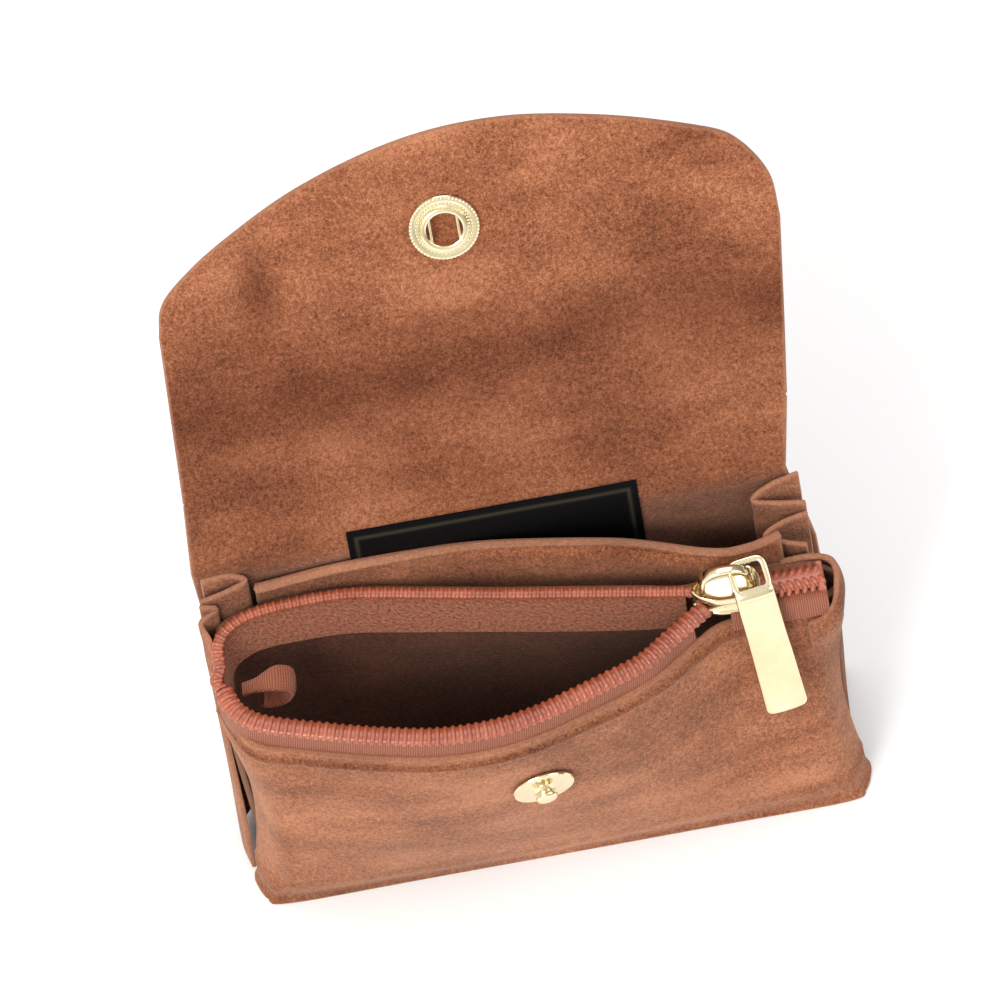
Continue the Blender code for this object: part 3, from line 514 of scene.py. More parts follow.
# %% [markdown]
# The back wall and the flap are one hide. Its side view is a line whose lean changes along its length: it
# curls forward up the back, bends back softly at the first fold, and a little more at the second. Adding up
# small steps in the direction of the lean gives the line. The hide is split in the middle of the bridge
# between the folds, so that each half crosses only one joint.

# %% The hide's side view
bridge_lean = math.atan2(*(second_fold - first_fold))
bridge_length = float(np.linalg.norm(second_fold - first_fold))
face_lean = math.radians(31)
hide_fold = first_fold[1]
hide_bend = hide_fold + bridge_length
hide_split = hide_fold + bridge_length / 2
hide_top = hide_bend + 50.5 * mm


def lean(s):
    """The hide's angle from upright at a length s from its foot."""
    back = -np.arctan(3 * 3.5 * mm / hide_fold**3 * np.minimum(s, hide_fold) ** 2)
    bent = step(s, hide_fold - 3 * mm, hide_fold + 3 * mm)
    return back * (1 - bent) + bridge_lean * bent + (face_lean - bridge_lean) * step(s, hide_bend - 5 * mm, hide_bend + 5 * mm)


side_s = np.linspace(0, hide_top + 2 * mm, 2000)
side_step = side_s[1] - side_s[0]
side_y = base_back + np.cumsum(np.sin(lean(side_s))) * side_step
side_z = 0.3 * mm + np.cumsum(np.cos(lean(side_s))) * side_step
side_y += first_fold[0] - np.interp(hide_fold, side_s, side_y)


def hide(x, s, out=0.0):
    """A place on the hide: x across, s up it, and out from its middle towards the inside of the purse."""
    y, z, angle = np.interp(s, side_s, side_y), np.interp(s, side_s, side_z), lean(s)
    return np.stack([x, y - out * np.cos(angle), z + out * np.sin(angle)], -1)


def waves(x, s):
    """How far the hide stands towards the inside: soft waves, one dent on the flap, and a small well at the snap."""
    calm = 1 - hump(x, snap_x, 9 * mm) * hump(s, hide_bend + 31 * mm, 9 * mm)
    free = step(s, hide_fold + 2 * mm, hide_fold + 40 * mm)
    soft = 0.9 * mm * ripples(x / (15 * mm), s / (17 * mm), 3) * free
    dent = -1.6 * mm * hump(x, -36 * mm, 4 * mm) * hump(s, hide_bend + 23 * mm, 7 * mm)
    curl = 2.2 * mm * step(-x, half - 12 * mm, half) * free + 1.2 * mm * step(x, half - 10 * mm, half) * free
    crumple = 0.22 * mm * ripples(x / (4 * mm), s / (5 * mm), 8)
    well = 0.85 * mm * step(3.1 * mm - np.hypot(x - snap_x, s - hide_bend - 30.926 * mm), 0, 0.7 * mm)
    return (soft + dent + crumple) * calm + curl - well


def hide_shade(x, s):
    """Painted shade: darker along the soft crease above the second fold, in the dent and low on the flap."""
    crease = 0.35 * hump(s, hide_bend + 4 * mm + 3 * mm * np.sin(x / (22 * mm)), 5 * mm)
    low = 0.48 * (1 - step(s, hide_bend + 6 * mm, hide_bend + 30 * mm)) * (1 + 0.3 * ripples(x / (9 * mm), s / (8 * mm), 14))
    dent = 0.9 * hump(x, -36 * mm, 2.6 * mm) * hump(s, hide_bend + 24 * mm, 6 * mm)
    return np.clip(crease + low + dent, 0, 1)


# %% The back and the flap
lower_s = np.linspace(0, hide_split, 150)[:, None] + np.zeros((1, 170))
lower_left = np.interp(lower_s[:, :1], [0, 60 * mm, 80 * mm, hide_split], np.array([-55.8, -55.8, -56.5, -55.6]) * mm)
lower_right = np.interp(lower_s[:, :1], [0, 50 * mm, 80 * mm, hide_split], np.array([54, 53, 49.6, 52.0]) * mm)
lower_x = lower_left + (lower_right - lower_left) * np.linspace(0, 1, 170)[None]
lower_grid = hide(lower_x, lower_s, waves(lower_x, lower_s))
purse_back = skin("purse_back", lower_grid, suede_thick, tan_suede, hide_shade(lower_x, lower_s), joined=-1)
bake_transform(purse_back)
cloth(purse_back, ["back_panel"])

edge_knots = np.array([(-54.3, 130.8), (-52.7, 136.8), (-46.5, 141.8), (-39.4, 146.3), (-25.7, 153.8), (-7, 159.6),
                       (11, 160.6), (28.5, 157.2), (45.5, 151.3), (51.6, 147.5), (55.6, 140.5), (56.2, 132)]) * mm
edge_line = smooth_line(edge_knots, 200)
root_line = np.column_stack([np.linspace(lower_x[-1, 0], lower_x[-1, -1], 200), np.full(200, hide_split)])
share = np.linspace(0, 1, 110)[:, None]
upper_x = root_line[None, :, 0] * (1 - share) + edge_line[None, :, 0] * share
upper_s = root_line[None, :, 1] * (1 - share) + edge_line[None, :, 1] * share
upper_grid = hide(upper_x, upper_s, waves(upper_x, upper_s))
flap = skin("flap", upper_grid, suede_thick, tan_suede, hide_shade(upper_x, upper_s), joined=0)
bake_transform(flap)
cloth(flap, ["flap_bridge", "flap_face"])


# %% [markdown]
# The zip pocket's two lips are drawn first, because the walls, the tapes and the coils all follow them. A
# lip is a row of points from the left end of the mouth to the slider, where both rows meet.

# %% The lips of the mouth
def mouth(shape, depth, rise=0.0):
    """A row: shares of the mouth's length and depth turned into places."""
    shape = np.array(shape)
    x = mouth_left + shape[:, 0] * (mouth_right - mouth_left)
    return np.column_stack([x, shape[:, 1] * depth, lip + rise * np.minimum(1, shape[:, 1])])


front_shape = [(0.0, 0.10), (0.02, 0.32), (0.07, 0.50), (0.17, 0.66), (0.30, 0.84), (0.43, 0.97), (0.55, 0.99),
               (0.65, 0.92), (0.74, 0.80), (0.81, 0.70), (0.89, 0.57), (0.96, 0.36), (1.0, 0.24)]
rear_shape = [(0.0, 0.22), (0.002, 0.52), (0.025, 0.76), (0.08, 0.94), (0.17, 1.0), (0.30, 0.985),
              (0.48, 0.76), (0.60, 0.60), (0.80, 0.36), (1.0, 0.12)]
front_row = mouth(front_shape, mouth_front)
rear_row = mouth(rear_shape, mouth_back, rear_lip_rise)


def sideways(line):
    """Unit vectors to the right of a line, in plan."""
    slope = np.gradient(line, axis=0)
    return unit(np.column_stack([slope[:, 1], -slope[:, 0], 0 * slope[:, 0]]))


def lip_line(row, out, drop, left_y, closed_y, right_y):
    """A wall's edge beside a row, from the purse's left end, past the slider to its right end."""
    line = smooth_line(row, 12)
    beside = (line + sideways(line) * out - [0, 0, drop])[1:]
    z = lip - drop
    ends = [(slider_x, closed_y, z), (half - 7 * mm, closed_y, z), (half - 1 * mm, right_y, z)]
    return np.vstack([[(-half + 0.1 * mm, left_y, z)], beside, ends])


def foot_line(y, side_y_, z, inset):
    """A line along the base at y, turned round both ends to the side."""
    turn = 5 * mm
    toward = math.copysign(1, side_y_ - y)
    x = half - inset
    left = [(-x, side_y_, z), (-x, y + toward * turn, z), (-x + 0.3 * turn, y + toward * 0.3 * turn, z)]
    middle = [(share_ * (x - turn), y, z) for share_ in (-1, -0.5, 0, 0.5, 1)]
    return np.array(left + middle + [(-a, b, c) for a, b, c in reversed(left)])


def between(low, high, share_, push, columns=60):
    """A curve part of the way between two others, pushed along Y except at its ends."""
    a, b = smooth_line(low, columns), smooth_line(high, columns)
    middle = a + (b - a) * share_
    middle[:, 1] += push * np.sin(np.linspace(0, np.pi, columns)) ** 0.4
    return middle


# %% [markdown]
# The front wall is one hide wrapped round the pocket. It bellies out, hangs a little over its bottom seam,
# and carries two pleats at the lower left. The seam is a soft roll with a crease just above it, and a
# second crease runs under the zip where the hide is turned in.

# %% The front wall
def front_wall(columns=240, rows=130):
    """The wall's middle surface, with its own details added along its normal."""
    foot = foot_line(base_front, -0.6 * mm, 0.3 * mm, 0.6 * mm)
    top = lip_line(front_row, 1.3 * mm + suede_thick / 2, 5 * mm, 0, -closed_front, -0.4 * mm)
    grid = loft([foot, between(foot, top, 0.33, -1.6 * mm), between(foot, top, 0.67, -1.5 * mm), top], columns, rows)
    up = np.linspace(0, 1, rows)[:, None] + np.zeros((1, columns))
    x, z = grid[..., 0], grid[..., 2]
    stud = hump(x, snap_x, 7 * mm) * hump(z, 44.5 * mm, 7 * mm)
    side = step(np.abs(x), half - 9 * mm, half - 1 * mm)
    belly = 2.6 * mm * side * np.sin(np.pi * np.clip(up * 1.15, 0, 1))
    soft = 0.8 * mm * ripples(x / (15 * mm), z / (13 * mm), 11) * np.sin(np.pi * up)
    small = 0.2 * mm * ripples(x / (4 * mm), z / (4.5 * mm), 12) * step(up, 0.02, 0.1) * step(1 - up, 0.02, 0.1)
    roll = 0.5 * mm * hump(z, 2.6 * mm, 1.6 * mm) - 0.18 * mm * hump(z, 7.5 * mm, 1.0 * mm)
    seam_z = z - (grid[-1:, :, 2] - 3.2 * mm)
    turned = -0.45 * mm * hump(seam_z, 0, 0.45 * mm) + 0.25 * mm * step(seam_z, 0, 1.2 * mm)
    pleats = -0.55 * mm * hump(x, -49.5 * mm, 1.3 * mm) * step(0.75 - up, 0, 0.4) * step(up, 0.06, 0.2)
    out = (belly + soft + small + pleats) * (1 - stud) + roll + turned + 0.35 * mm * stud
    # Painted shade: darker in the crease above the bottom roll, along the turned-in crease under the zip, in the pleats
    # and towards the bottom.
    worn = 0.18 * hump(z, 7.5 * mm, 1.4 * mm) + 0.6 * hump(seam_z, 0, 0.6 * mm) - 0.6 * pleats / mm + 0.2 * step(6 * mm - z, 0, 6 * mm)
    return grid - normals(grid) * out[..., None], np.clip(worn, 0, 1)


wall_grid, wall_shade = front_wall()
wall_normal_y = normals(wall_grid)[65, 120, 1]
print("front wall normal looks", "in" if wall_normal_y > 0 else "out")


def lip_follow(obj):
    """Read the object's points; the mesh is left as it is."""
    co = np.empty(len(obj.data.vertices) * 3)
    obj.data.vertices.foreach_get("co", co)


purse_front = skin("purse_front", wall_grid, suede_thick, tan_suede, wall_shade)
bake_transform(purse_front)
lip_follow(purse_front)
cloth(purse_front, ["front_panel"])

# %% The pocket's rear wall, the divider and the base
def rear_wall(columns=160, rows=70):
    """The zip pocket's rear wall: one soft sheet from the base to the rear lip."""
    foot = foot_line(9 * mm, 0.9 * mm, 1.5 * mm, 3.2 * mm)
    top = lip_line(rear_row, -1.3 * mm - inner_thick / 2, 1.6 * mm, 1.8 * mm, closed_back, 1.4 * mm)
    grid = loft([foot, between(foot, top, 0.5, 0.4 * mm), top], columns, rows)
    up = np.linspace(0, 1, rows)[:, None]
    soft = 0.45 * mm * ripples(grid[..., 0] / (9 * mm), grid[..., 2] / (10 * mm), 21) * np.sin(np.pi * up)
    return grid + normals(grid) * soft[..., None]


rear_grid = rear_wall()
# The rear wall takes the darker suede copy: painted shade deep in the pocket.
pocket_back = skin("pocket_back", rear_grid, inner_thick, inner_suede)
cloth(pocket_back, ["pocket_rear_panel"], "root")


def divider(columns=150, rows=80):
    """The divider: upright at its foot, leaning back on the left and sagging forward on the right."""
    x = np.array([-half + 10 * mm, -0.5 * half, -0.1 * half, 0.3 * half, 0.6 * half, half - 15.5 * mm, half - 9.5 * mm])
    foot = np.column_stack([x, np.full(7, 10.8 * mm), np.full(7, 1.5 * mm)])
    knee_low = np.column_stack([x, np.array([13.8, 13.6, 12.0, 10.4, 9.2, 9.0, 9.4]) * mm, np.full(7, 36 * mm)])
    knee = np.column_stack([x, np.array([15.3, 15.3, 13.0, 9.6, 5.9, 5.7, 5.6]) * mm, np.array([69, 70.5, 70, 68, 66, 66, 67]) * mm])
    top = np.column_stack([x, np.array([14.3, 14.6, 14.0, 11.3, 6.8, 6.2, 6.2]) * mm, np.array([75, 76.5, 76, 74, 72, 72, 74.5]) * mm])
    grid = loft([foot, knee_low, knee, top], columns, rows)
    up = np.linspace(0, 1, rows)[:, None]
    soft = 0.3 * mm * ripples(grid[..., 0] / (7 * mm), grid[..., 2] / (9 * mm), 31) * step(up, 0, 0.3)
    return grid + normals(grid) * soft[..., None]


divider_grid = divider()
thick_edge = inner_thick * (1 + 0.9 * step(np.linspace(0, 1, 80)[:, None], 0.9, 0.99) + np.zeros((1, 150)))
# The 0.15 is painted shade over the whole divider, which stands inside the pocket.
pocket_divider = skin("pocket_divider", divider_grid, thick_edge, tan_suede, 0.15)
cloth(pocket_divider, ["divider_panel"], "root")


def box_grid(low, high, name, material, round_=1.0 * mm):
    """A flat cushion of a board: a superellipse in plan and in section."""
    across, up = np.linspace(0, 2 * np.pi, 96, endpoint=False), np.linspace(-np.pi / 2, np.pi / 2, 15)
    a, b = np.meshgrid(across, up)
    power = lambda value, p: np.sign(value) * np.abs(value) ** p
    middle, size = (low + high) / 2, (high - low) / 2
    x = middle[0] + size[0] * power(np.cos(a), 0.22) * power(np.cos(b), 0.08)
    y = middle[1] + size[1] * power(np.sin(a), 0.22) * power(np.cos(b), 0.08)
    z = middle[2] + size[2] * np.sin(b)
    points = np.stack([x, y, z], -1)[1:-1].reshape(-1, 3)
    rows = len(up) - 2
    ends = np.array([[middle[0], middle[1], low[2]], [middle[0], middle[1], high[2]]])
    faces = quads(rows, 96, True).tolist()
    count = len(points)
    faces += [[count, (k + 1) % 96, k] for k in range(96)]
    faces += [[count + 1, (rows - 1) * 96 + k, (rows - 1) * 96 + (k + 1) % 96] for k in range(96)]
    mesh = bpy.data.meshes.new(name)
    mesh.from_pydata(np.vstack([points, ends]).tolist(), [], faces)
    mesh.materials.append(material)
    mesh.shade_smooth()
    obj = bpy.data.objects.new(name, mesh)
    bpy.context.scene.collection.objects.link(obj)
    return obj


base_low, base_high = (np.array(v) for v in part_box("base_panel"))
purse_base = box_grid(base_low, base_high, "purse_base", tan_suede)
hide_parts("base_panel")
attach(purse_base, "root")

# %% [markdown]
# The gussets fold like an accordion at both sides. Each is one strip of the inner hide, folded upright
# twice or three times. It is drawn as a zigzag in plan whose corners are rounded by the spline, narrower
# towards the top, where the side seams gather it.

# %% Gussets
def pleated(low, high, drops, columns=90, rows=70, seed=41):
    """A zigzag strip: plan points (x, y) at its foot and its top, and how far each stops below the back."""
    low, high = np.array(low) * mm, np.array(high) * mm
    at = np.linspace(0, len(low) - 1, columns)
    foot = np.column_stack([spline(low, at), np.full(columns, 1.6 * mm)])
    drop = np.interp(at, np.arange(len(low)), drops) * mm
    top = np.column_stack([spline(high, at), hide_fold - drop])
    share_ = np.linspace(0, 1, rows)[:, None, None]
    grid = foot[None] * (1 - share_) + top[None] * share_
    up = np.linspace(0, 1, rows)[:, None]
    soft = 0.28 * mm * ripples(grid[..., 0] / (3 * mm), grid[..., 2] / (7 * mm), seed)
    soft = soft + 0.25 * mm * ripples(grid[..., 1] / (2 * mm), grid[..., 2] / (2.6 * mm), seed + 1) * step(up, 0.8, 1)
    return grid + normals(grid) * soft[..., None]


def gusset(name, low, high, drops, stands_for, seed):
    """One pleat as a sheet of the inner hide."""
    grid = pleated(low, high, drops, seed=seed)
    # Painted shade: darker down the middle of the strip, in the pleat's inner fold.
    made = skin(name, grid, 0.9 * mm, tan_suede, 0.25 * hump(np.linspace(0, 1, 90)[None] + np.zeros((70, 1)), 0.5, 0.1))
    cloth(made, [stands_for], "root")
    return made


gusset("gusset_left_rear_soft", [(-55.0, 18.7), (-50.5, 18.4), (-47.2, 17.4), (-50.5, 16.7), (-55.4, 16.0)],
       [(-55.2, 15.4), (-50.5, 15.6), (-47.6, 14.6), (-50.5, 13.6), (-56.0, 13.3)], [1, 1, 2, 3, 5], "gusset_left_rear", 41)
gusset("gusset_left_front_soft", [(-55.4, 15.4), (-54.2, 13.0), (-56.2, 9.8), (-56.4, 5.0), (-55.4, 0.2)],
       [(-56.2, 12.6), (-53.4, 12.2), (-56.4, 10.8), (-55.4, 8.0), (-56.2, 3.4)], [5, 6, 8, 10, 13], "gusset_left_front", 44)
gusset("gusset_right_rear_soft", [(51.2, 18.7), (47, 18.2), (43.2, 17.4), (47, 16.6), (51.6, 16.2)],
       [(51.6, 15.4), (47, 14.7), (43.2, 13.3), (47, 12.4), (52.0, 11.9)], [1, 2, 4, 5, 6], "gusset_right_rear", 47)
gusset("gusset_right_front_soft", [(51.6, 14.9), (47.6, 14.2), (44.2, 13.3), (47.6, 12.4), (51.0, 11.6)],
       [(52.0, 10.6), (47.6, 10.0), (44.2, 8.5), (47.4, 7.2), (51.0, 6.4)], [7, 8, 9, 10, 11], "gusset_right_front", 50)

# %% [markdown]
# A coil zip is two nylon helices, one sewn along each tape. Where it is open, each shows as a row of beads.
# Where the slider has closed it, the loops of one lie between the loops of the other. Each turn here is a
# dozen short steps of a bent tube, which is light enough for eighty turns a row.

# %% Coils
pitch = 1.42 * mm


def path_frame(path):
    """Tangent, side and up vectors along a path that stays roughly level."""
    forward = unit(np.gradient(path, axis=0))
    side = unit(np.cross(forward, [0, 0, 1.0]))
    return forward, side, np.cross(side, forward)


def read_path(path, at):
    """A place on a path at a length along it."""
    along = lengths(path)
    return np.column_stack([np.interp(at, along, path[:, k]) for k in range(3)])


def tube(path, radius, sides=8, squash=1.0):
    """Points and faces of a tube round a path, closed at both ends by a point. squash scales its height."""
    forward, side, up = path_frame(path)
    angle = np.linspace(0, 2 * np.pi, sides, endpoint=False)
    radius = np.broadcast_to(radius, len(path))[:, None, None]
    ring = radius * (side[:, None] * np.cos(angle)[None, :, None] + up[:, None] * np.sin(angle)[None, :, None] * squash)
    points = (path[:, None] + ring).reshape(-1, 3)
    faces = quads(len(path), sides, True)[:, ::-1]
    first, last = len(points), len(points) + 1
    k = np.arange(sides)
    low = np.column_stack([np.full(sides, first), k, (k + 1) % sides, (k + 1) % sides])
    k = k + (len(path) - 1) * sides
    high = np.column_stack([np.full(sides, last), (k + 1 - (len(path) - 1) * sides) % sides + (len(path) - 1) * sides, k, k])
    return np.vstack([points, path[:1], path[-1:]]), faces, np.vstack([low, high])[:, :3]


def helix(path, wide, high, wire, phase=0.0, steps=16, sides=8):
    """A wire wound round a path: one turn of an ellipse wide × high in each pitch.

    Its middle is path + wide·cos(a)·side + high·sin(a)·up. The upper half of a turn runs straight across the
    path, and the lower half makes the whole step to the next turn, as a sewn coil does.
    """
    turns = int(lengths(path)[-1] / pitch)
    part = np.linspace(0, turns, turns * steps + 1) + phase / (2 * np.pi)
    a = 2 * np.pi * part
    whole, rest = np.divmod(part, 1)
    at = (whole + np.clip(2 * rest - 1, 0, 1) - phase / (2 * np.pi)) * pitch
    middle = read_path(path, at)
    _, side, up = path_frame(read_path(path, part * pitch))
    wire_path = middle + wide * np.cos(a)[:, None] * side + high * np.sin(a)[:, None] * up
    tangent = unit(np.gradient(wire_path, axis=0))
    outward = np.cos(a)[:, None] * side + np.sin(a)[:, None] * up
    outward = unit(outward - tangent * (outward * tangent).sum(1, keepdims=True))
    third = np.cross(tangent, outward)
    b = np.linspace(0, 2 * np.pi, sides, endpoint=False)
    ring = wire * (outward[:, None] * np.cos(b)[None, :, None] + third[:, None] * np.sin(b)[None, :, None])
    k, last = np.arange(sides), (len(wire_path) - 1) * sides
    total = len(wire_path) * sides
    ends = np.vstack([np.column_stack([np.full(sides, total), (k + 1) % sides, k]),
                      np.column_stack([np.full(sides, total + 1), last + k, last + (k + 1) % sides])])
    points = (wire_path[:, None] + ring).reshape(-1, 3)
    return np.vstack([points, wire_path[:1], wire_path[-1:]]), quads(len(wire_path), sides, True), ends


def grains(spots, long, wide, size):
    """Rounded teeth: at each spot a ball with 5 × 8 faces, size[0] along long, size[1] along wide, size[2] across."""
    b, c = np.meshgrid(np.linspace(-np.pi / 2, np.pi / 2, 7)[1:-1], np.linspace(0, 2 * np.pi, 8, endpoint=False), indexing="ij")
    ball = np.stack([np.cos(b) * np.cos(c), np.cos(b) * np.sin(c), np.sin(b)], -1).reshape(-1, 3)
    ball = np.vstack([ball, [0, 0, -1], [0, 0, 1]])
    axes = np.stack([unit(long) * size[0], unit(wide) * size[1], unit(np.cross(long, wide)) * size[2]], 1)
    k = np.arange(8)
    ends = np.vstack([np.column_stack([np.full(8, 40), (k + 1) % 8, k]), np.column_stack([np.full(8, 41), 32 + k, 32 + (k + 1) % 8])])
    shift = 42 * np.arange(len(spots))[:, None, None]
    points = spots[:, None] + np.einsum("pk,nkj->npj", ball, axes)
    return points.reshape(-1, 3), (quads(5, 8, True)[None] + shift).reshape(-1, 4), (ends[None] + shift).reshape(-1, 3)


def teeth(path, aside, rise, slant, size, start=0.0):
    """A tooth in each pitch: beside the path, raised, and turned by slant from straight across it."""
    at = np.arange(start, lengths(path)[-1], pitch)
    middle = read_path(path, at)
    forward, side, up = (read_path_vectors[::1] for read_path_vectors in path_frame(path))
    near = np.searchsorted(lengths(path), at).clip(0, len(path) - 1)
    forward, side, up = forward[near], side[near], up[near]
    long = side * math.cos(slant) + forward * math.sin(slant)
    return grains(middle + side * aside + up * rise, long, up, size)


def join(name, parts, material):
    """One object of several (points, quads, triangles) parts."""
    points, faces, start = [], [], 0
    for part_points, part_quads, part_triangles in parts:
        points.append(part_points)
        faces += (part_quads + start).tolist() + (part_triangles + start).tolist()
        start += len(part_points)
    mesh = bpy.data.meshes.new(name)
    mesh.from_pydata(np.vstack(points).tolist(), [], faces)
    mesh.materials.append(material)
    mesh.shade_smooth()
    obj = bpy.data.objects.new(name, mesh)
    bpy.context.scene.collection.objects.link(obj)
    return obj


left_end = np.array([(-half + 0.7 * mm, -0.9 * mm, lip), (-half + 0.2 * mm, 0.9 * mm, lip + 0.2 * mm)])
rear_path = smooth_line(np.vstack([left_end, rear_row, [(slider_x - 4 * mm, 1.2 * mm, lip)]]), 500)
front_path = smooth_line(np.vstack([front_row, [(slider_x - 4 * mm, -2.4 * mm, lip)]]), 500)
rear_coil = join("coil_rear", [helix(rear_path, 0.85 * mm, 0.65 * mm, 0.36 * mm), teeth(rear_path, 0.75 * mm, 0.25 * mm, 0, (0.52 * mm, 0.64 * mm, 0.46 * mm)),
                               tube(rear_path, 1.1 * mm, 8, 0.55)], terracotta_nylon)
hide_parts("zip_coil_rear")
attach(rear_coil, "root")
front_coil = join("coil_front", [helix(front_path, 1.45 * mm, 0.7 * mm, 0.43 * mm), teeth(front_path, -1.4 * mm, 0.15 * mm, 0, (0.45 * mm, 0.52 * mm, 0.46 * mm)),
                                 tube(front_path, 1.7 * mm, 8, 0.36)], terracotta_nylon)
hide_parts("zip_coil_front")
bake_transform(front_coil)
lip_follow(front_coil)
closed_path = np.column_stack([np.linspace(slider_high[0] - 7 * mm, half - 3.4 * mm, 100), np.zeros(100), np.full(100, lip)])
closed_size = (1.15 * mm, 0.62 * mm, 0.52 * mm)
closed_coil = join("coil_closed", [teeth(closed_path, -1.05 * mm, 0.55 * mm, -0.55, closed_size), teeth(closed_path, 1.05 * mm, 0.55 * mm, 0.55, closed_size, pitch / 2),
                                   teeth(closed_path, -1.9 * mm, -0.1 * mm, 0.35, closed_size, pitch / 3), teeth(closed_path, 1.9 * mm, -0.1 * mm, -0.35, closed_size, pitch / 3),
                                   tube(closed_path, 2.1 * mm, 10, 0.45)], terracotta_nylon)
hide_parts("zip_coil_closed")
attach(closed_coil, "root")


# %% Tapes
def tape_grid(row, out_top, out_foot, top_drop, depth, wave, seed, columns=260, rows=30, belly=0.0):
    """A tape hanging beside a row of coil, as a grid from its wavy lower edge up to the coil."""
    path = smooth_line(row, columns)
    side = sideways(path)
    ends = np.sin(np.linspace(0, np.pi, columns)) ** 0.5
    low = depth + wave * ripples(path[:, 0] / (6 * mm), 0 * path[:, 0], seed) * ends
    share_ = np.linspace(0, 1, rows)[:, None, None]
    out = out_foot * (1 - share_) + out_top * share_ + belly * ends[None, :, None] * np.sin(np.pi * share_ * 0.5 + np.pi * 0.5)
    drop = low[None, :, None] * (1 - share_) + top_drop * share_
    return path[None] + side[None] * out - np.array([0, 0, 1.0]) * drop


rear_tape_grid = tape_grid(rear_row, -0.3 * mm, 1.5 * mm, 0.9 * mm, 9.2 * mm, 0.9 * mm, 61, belly=1.1 * mm)
rear_tape = skin("tape_rear", rear_tape_grid, 0.55 * mm, rear_weave)
cloth(rear_tape, ["zip_tape_rear"], "root")
front_tape_grid = tape_grid(front_row, 0.6 * mm, 1.15 * mm, 0.7 * mm, 6.4 * mm, 0, 62)
front_tape = skin("tape_front", front_tape_grid, 0.5 * mm, rib_weave)
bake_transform(front_tape)
lip_follow(front_tape)
cloth(front_tape, ["zip_tape_front"])
closed_x = np.linspace(slider_high[0] - 6 * mm, half - 3.0 * mm, 70)[None]
closed_edge = smooth_line(np.array([(-4.0, -6.6), (-3.6, -4.0), (-2.9, -1.7), (0, -0.9), (2.6, -1.0), (4.2, -1.8)]) * mm, 40)[:, None]
closed_tape_grid = np.stack([closed_x + 0 * closed_edge[..., 0], closed_edge[..., 0] + 0 * closed_x, lip + closed_edge[..., 1] + 0 * closed_x], -1)
closed_tape = skin("tape_closed", closed_tape_grid, 0.5 * mm, rib_weave)
cloth(closed_tape, ["zip_tape_closed"], "root")

# %% [markdown]
# The metal is cast and stamped, then plated: the slider is a small boat with a dished deck, the bail an
# arched strap over it, and the pull a bent bar with a square window that the strap's foot passes through.

# %% Metal shapes
def turned(name, profile, steps, place, material, replaced, body, slot="pale_gold"):
    """A turned piece: rings of points round Z through a closed profile of (radius, height)."""
    profile = np.array(profile) * mm
    angle = np.linspace(0, 2 * np.pi, steps, endpoint=False)
    ring = np.stack([profile[:, :1] * np.cos(angle), profile[:, :1] * np.sin(angle), profile[:, 1:] + 0 * angle], -1)
    faces = quads(len(profile), steps, True)
    if np.hypot(*(profile[0] - profile[-1])) > 1e-7 and profile[0, 0] > 1e-7:
        k = np.arange(steps)
        last = (len(profile) - 1) * steps
        faces = np.vstack([faces, np.column_stack([last + k, last + (k + 1) % steps, (k + 1) % steps, k])])
    mesh = bpy.data.meshes.new(name)
    mesh.from_pydata(ring.reshape(-1, 3).tolist(), [], faces.tolist())
    import bmesh
    cleaned = bmesh.new()
    cleaned.from_mesh(mesh)
    bmesh.ops.remove_doubles(cleaned, verts=cleaned.verts, dist=1e-7)
    bmesh.ops.recalc_face_normals(cleaned, faces=cleaned.faces)
    bmesh.ops.transform(cleaned, matrix=place, verts=cleaned.verts)
    cleaned.to_mesh(mesh)
    cleaned.free()
    mesh.materials.append(material)
    mesh.shade_smooth()
    mesh.set_sharp_from_angle(angle=math.radians(38))
    obj = bpy.data.objects.new(name, mesh)
    bpy.context.scene.collection.objects.link(obj)
    if replaced:
        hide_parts(*replaced)
    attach(obj, body)
    return obj


def facing(origin, normal):
    """A placement whose Z axis is the normal."""
    z = Vector(normal).normalized()
    x = (Vector((1, 0, 0)) - z * z.x).normalized()
    return Matrix.Translation(origin) @ Matrix((x, z.cross(x), z)).transposed().to_4x4()


def strap(path, side, wide, thick, around=False, sides=16, power=0.45):
    """A band along a path: superellipse rings, wide along side and thick across it. Gives points and faces."""
    count = len(path)
    if around:
        slope = np.roll(path, -1, axis=0) - np.roll(path, 1, axis=0)
    else:
        slope = np.gradient(path, axis=0)
    forward = unit(slope)
    side = unit(np.broadcast_to(np.asarray(side, float), path.shape))
    up = unit(np.cross(side, forward))
    angle = np.linspace(0, 2 * np.pi, sides, endpoint=False)
    c, s = np.cos(angle), np.sin(angle)
    c, s = np.sign(c) * np.abs(c) ** power, np.sign(s) * np.abs(s) ** power
    wide = np.broadcast_to(wide, count)[:, None, None] / 2
    thick = np.broadcast_to(thick, count)[:, None, None] / 2
    points = path[:, None] + side[:, None] * wide * c[None, :, None] + up[:, None] * thick * s[None, :, None]
    uv = np.stack([np.repeat(lengths(path)[:, None], sides, 1), (wide * c[None, :, None])[..., 0] + 0 * angle], -1) / mm
    faces = quads(count, sides, True)[:, ::-1]
    k = np.arange(sides)
    if around:
        last = (count - 1) * sides
        faces = np.vstack([faces, np.column_stack([last + k, k, (k + 1) % sides, last + (k + 1) % sides])[:, ::-1][:, ::-1]])
        return points.reshape(-1, 3), faces, np.zeros((0, 3), int), uv.reshape(-1, 2)
    total = count * sides
    low = np.column_stack([np.full(sides, total), k, (k + 1) % sides])
    high = np.column_stack([np.full(sides, total + 1), (count - 1) * sides + (k + 1) % sides, (count - 1) * sides + k])
    uv = np.vstack([uv.reshape(-1, 2), uv[0].mean(0), uv[-1].mean(0)])
    return np.vstack([points.reshape(-1, 3), path[:1], path[-1:]]), faces, np.vstack([low, high]), uv


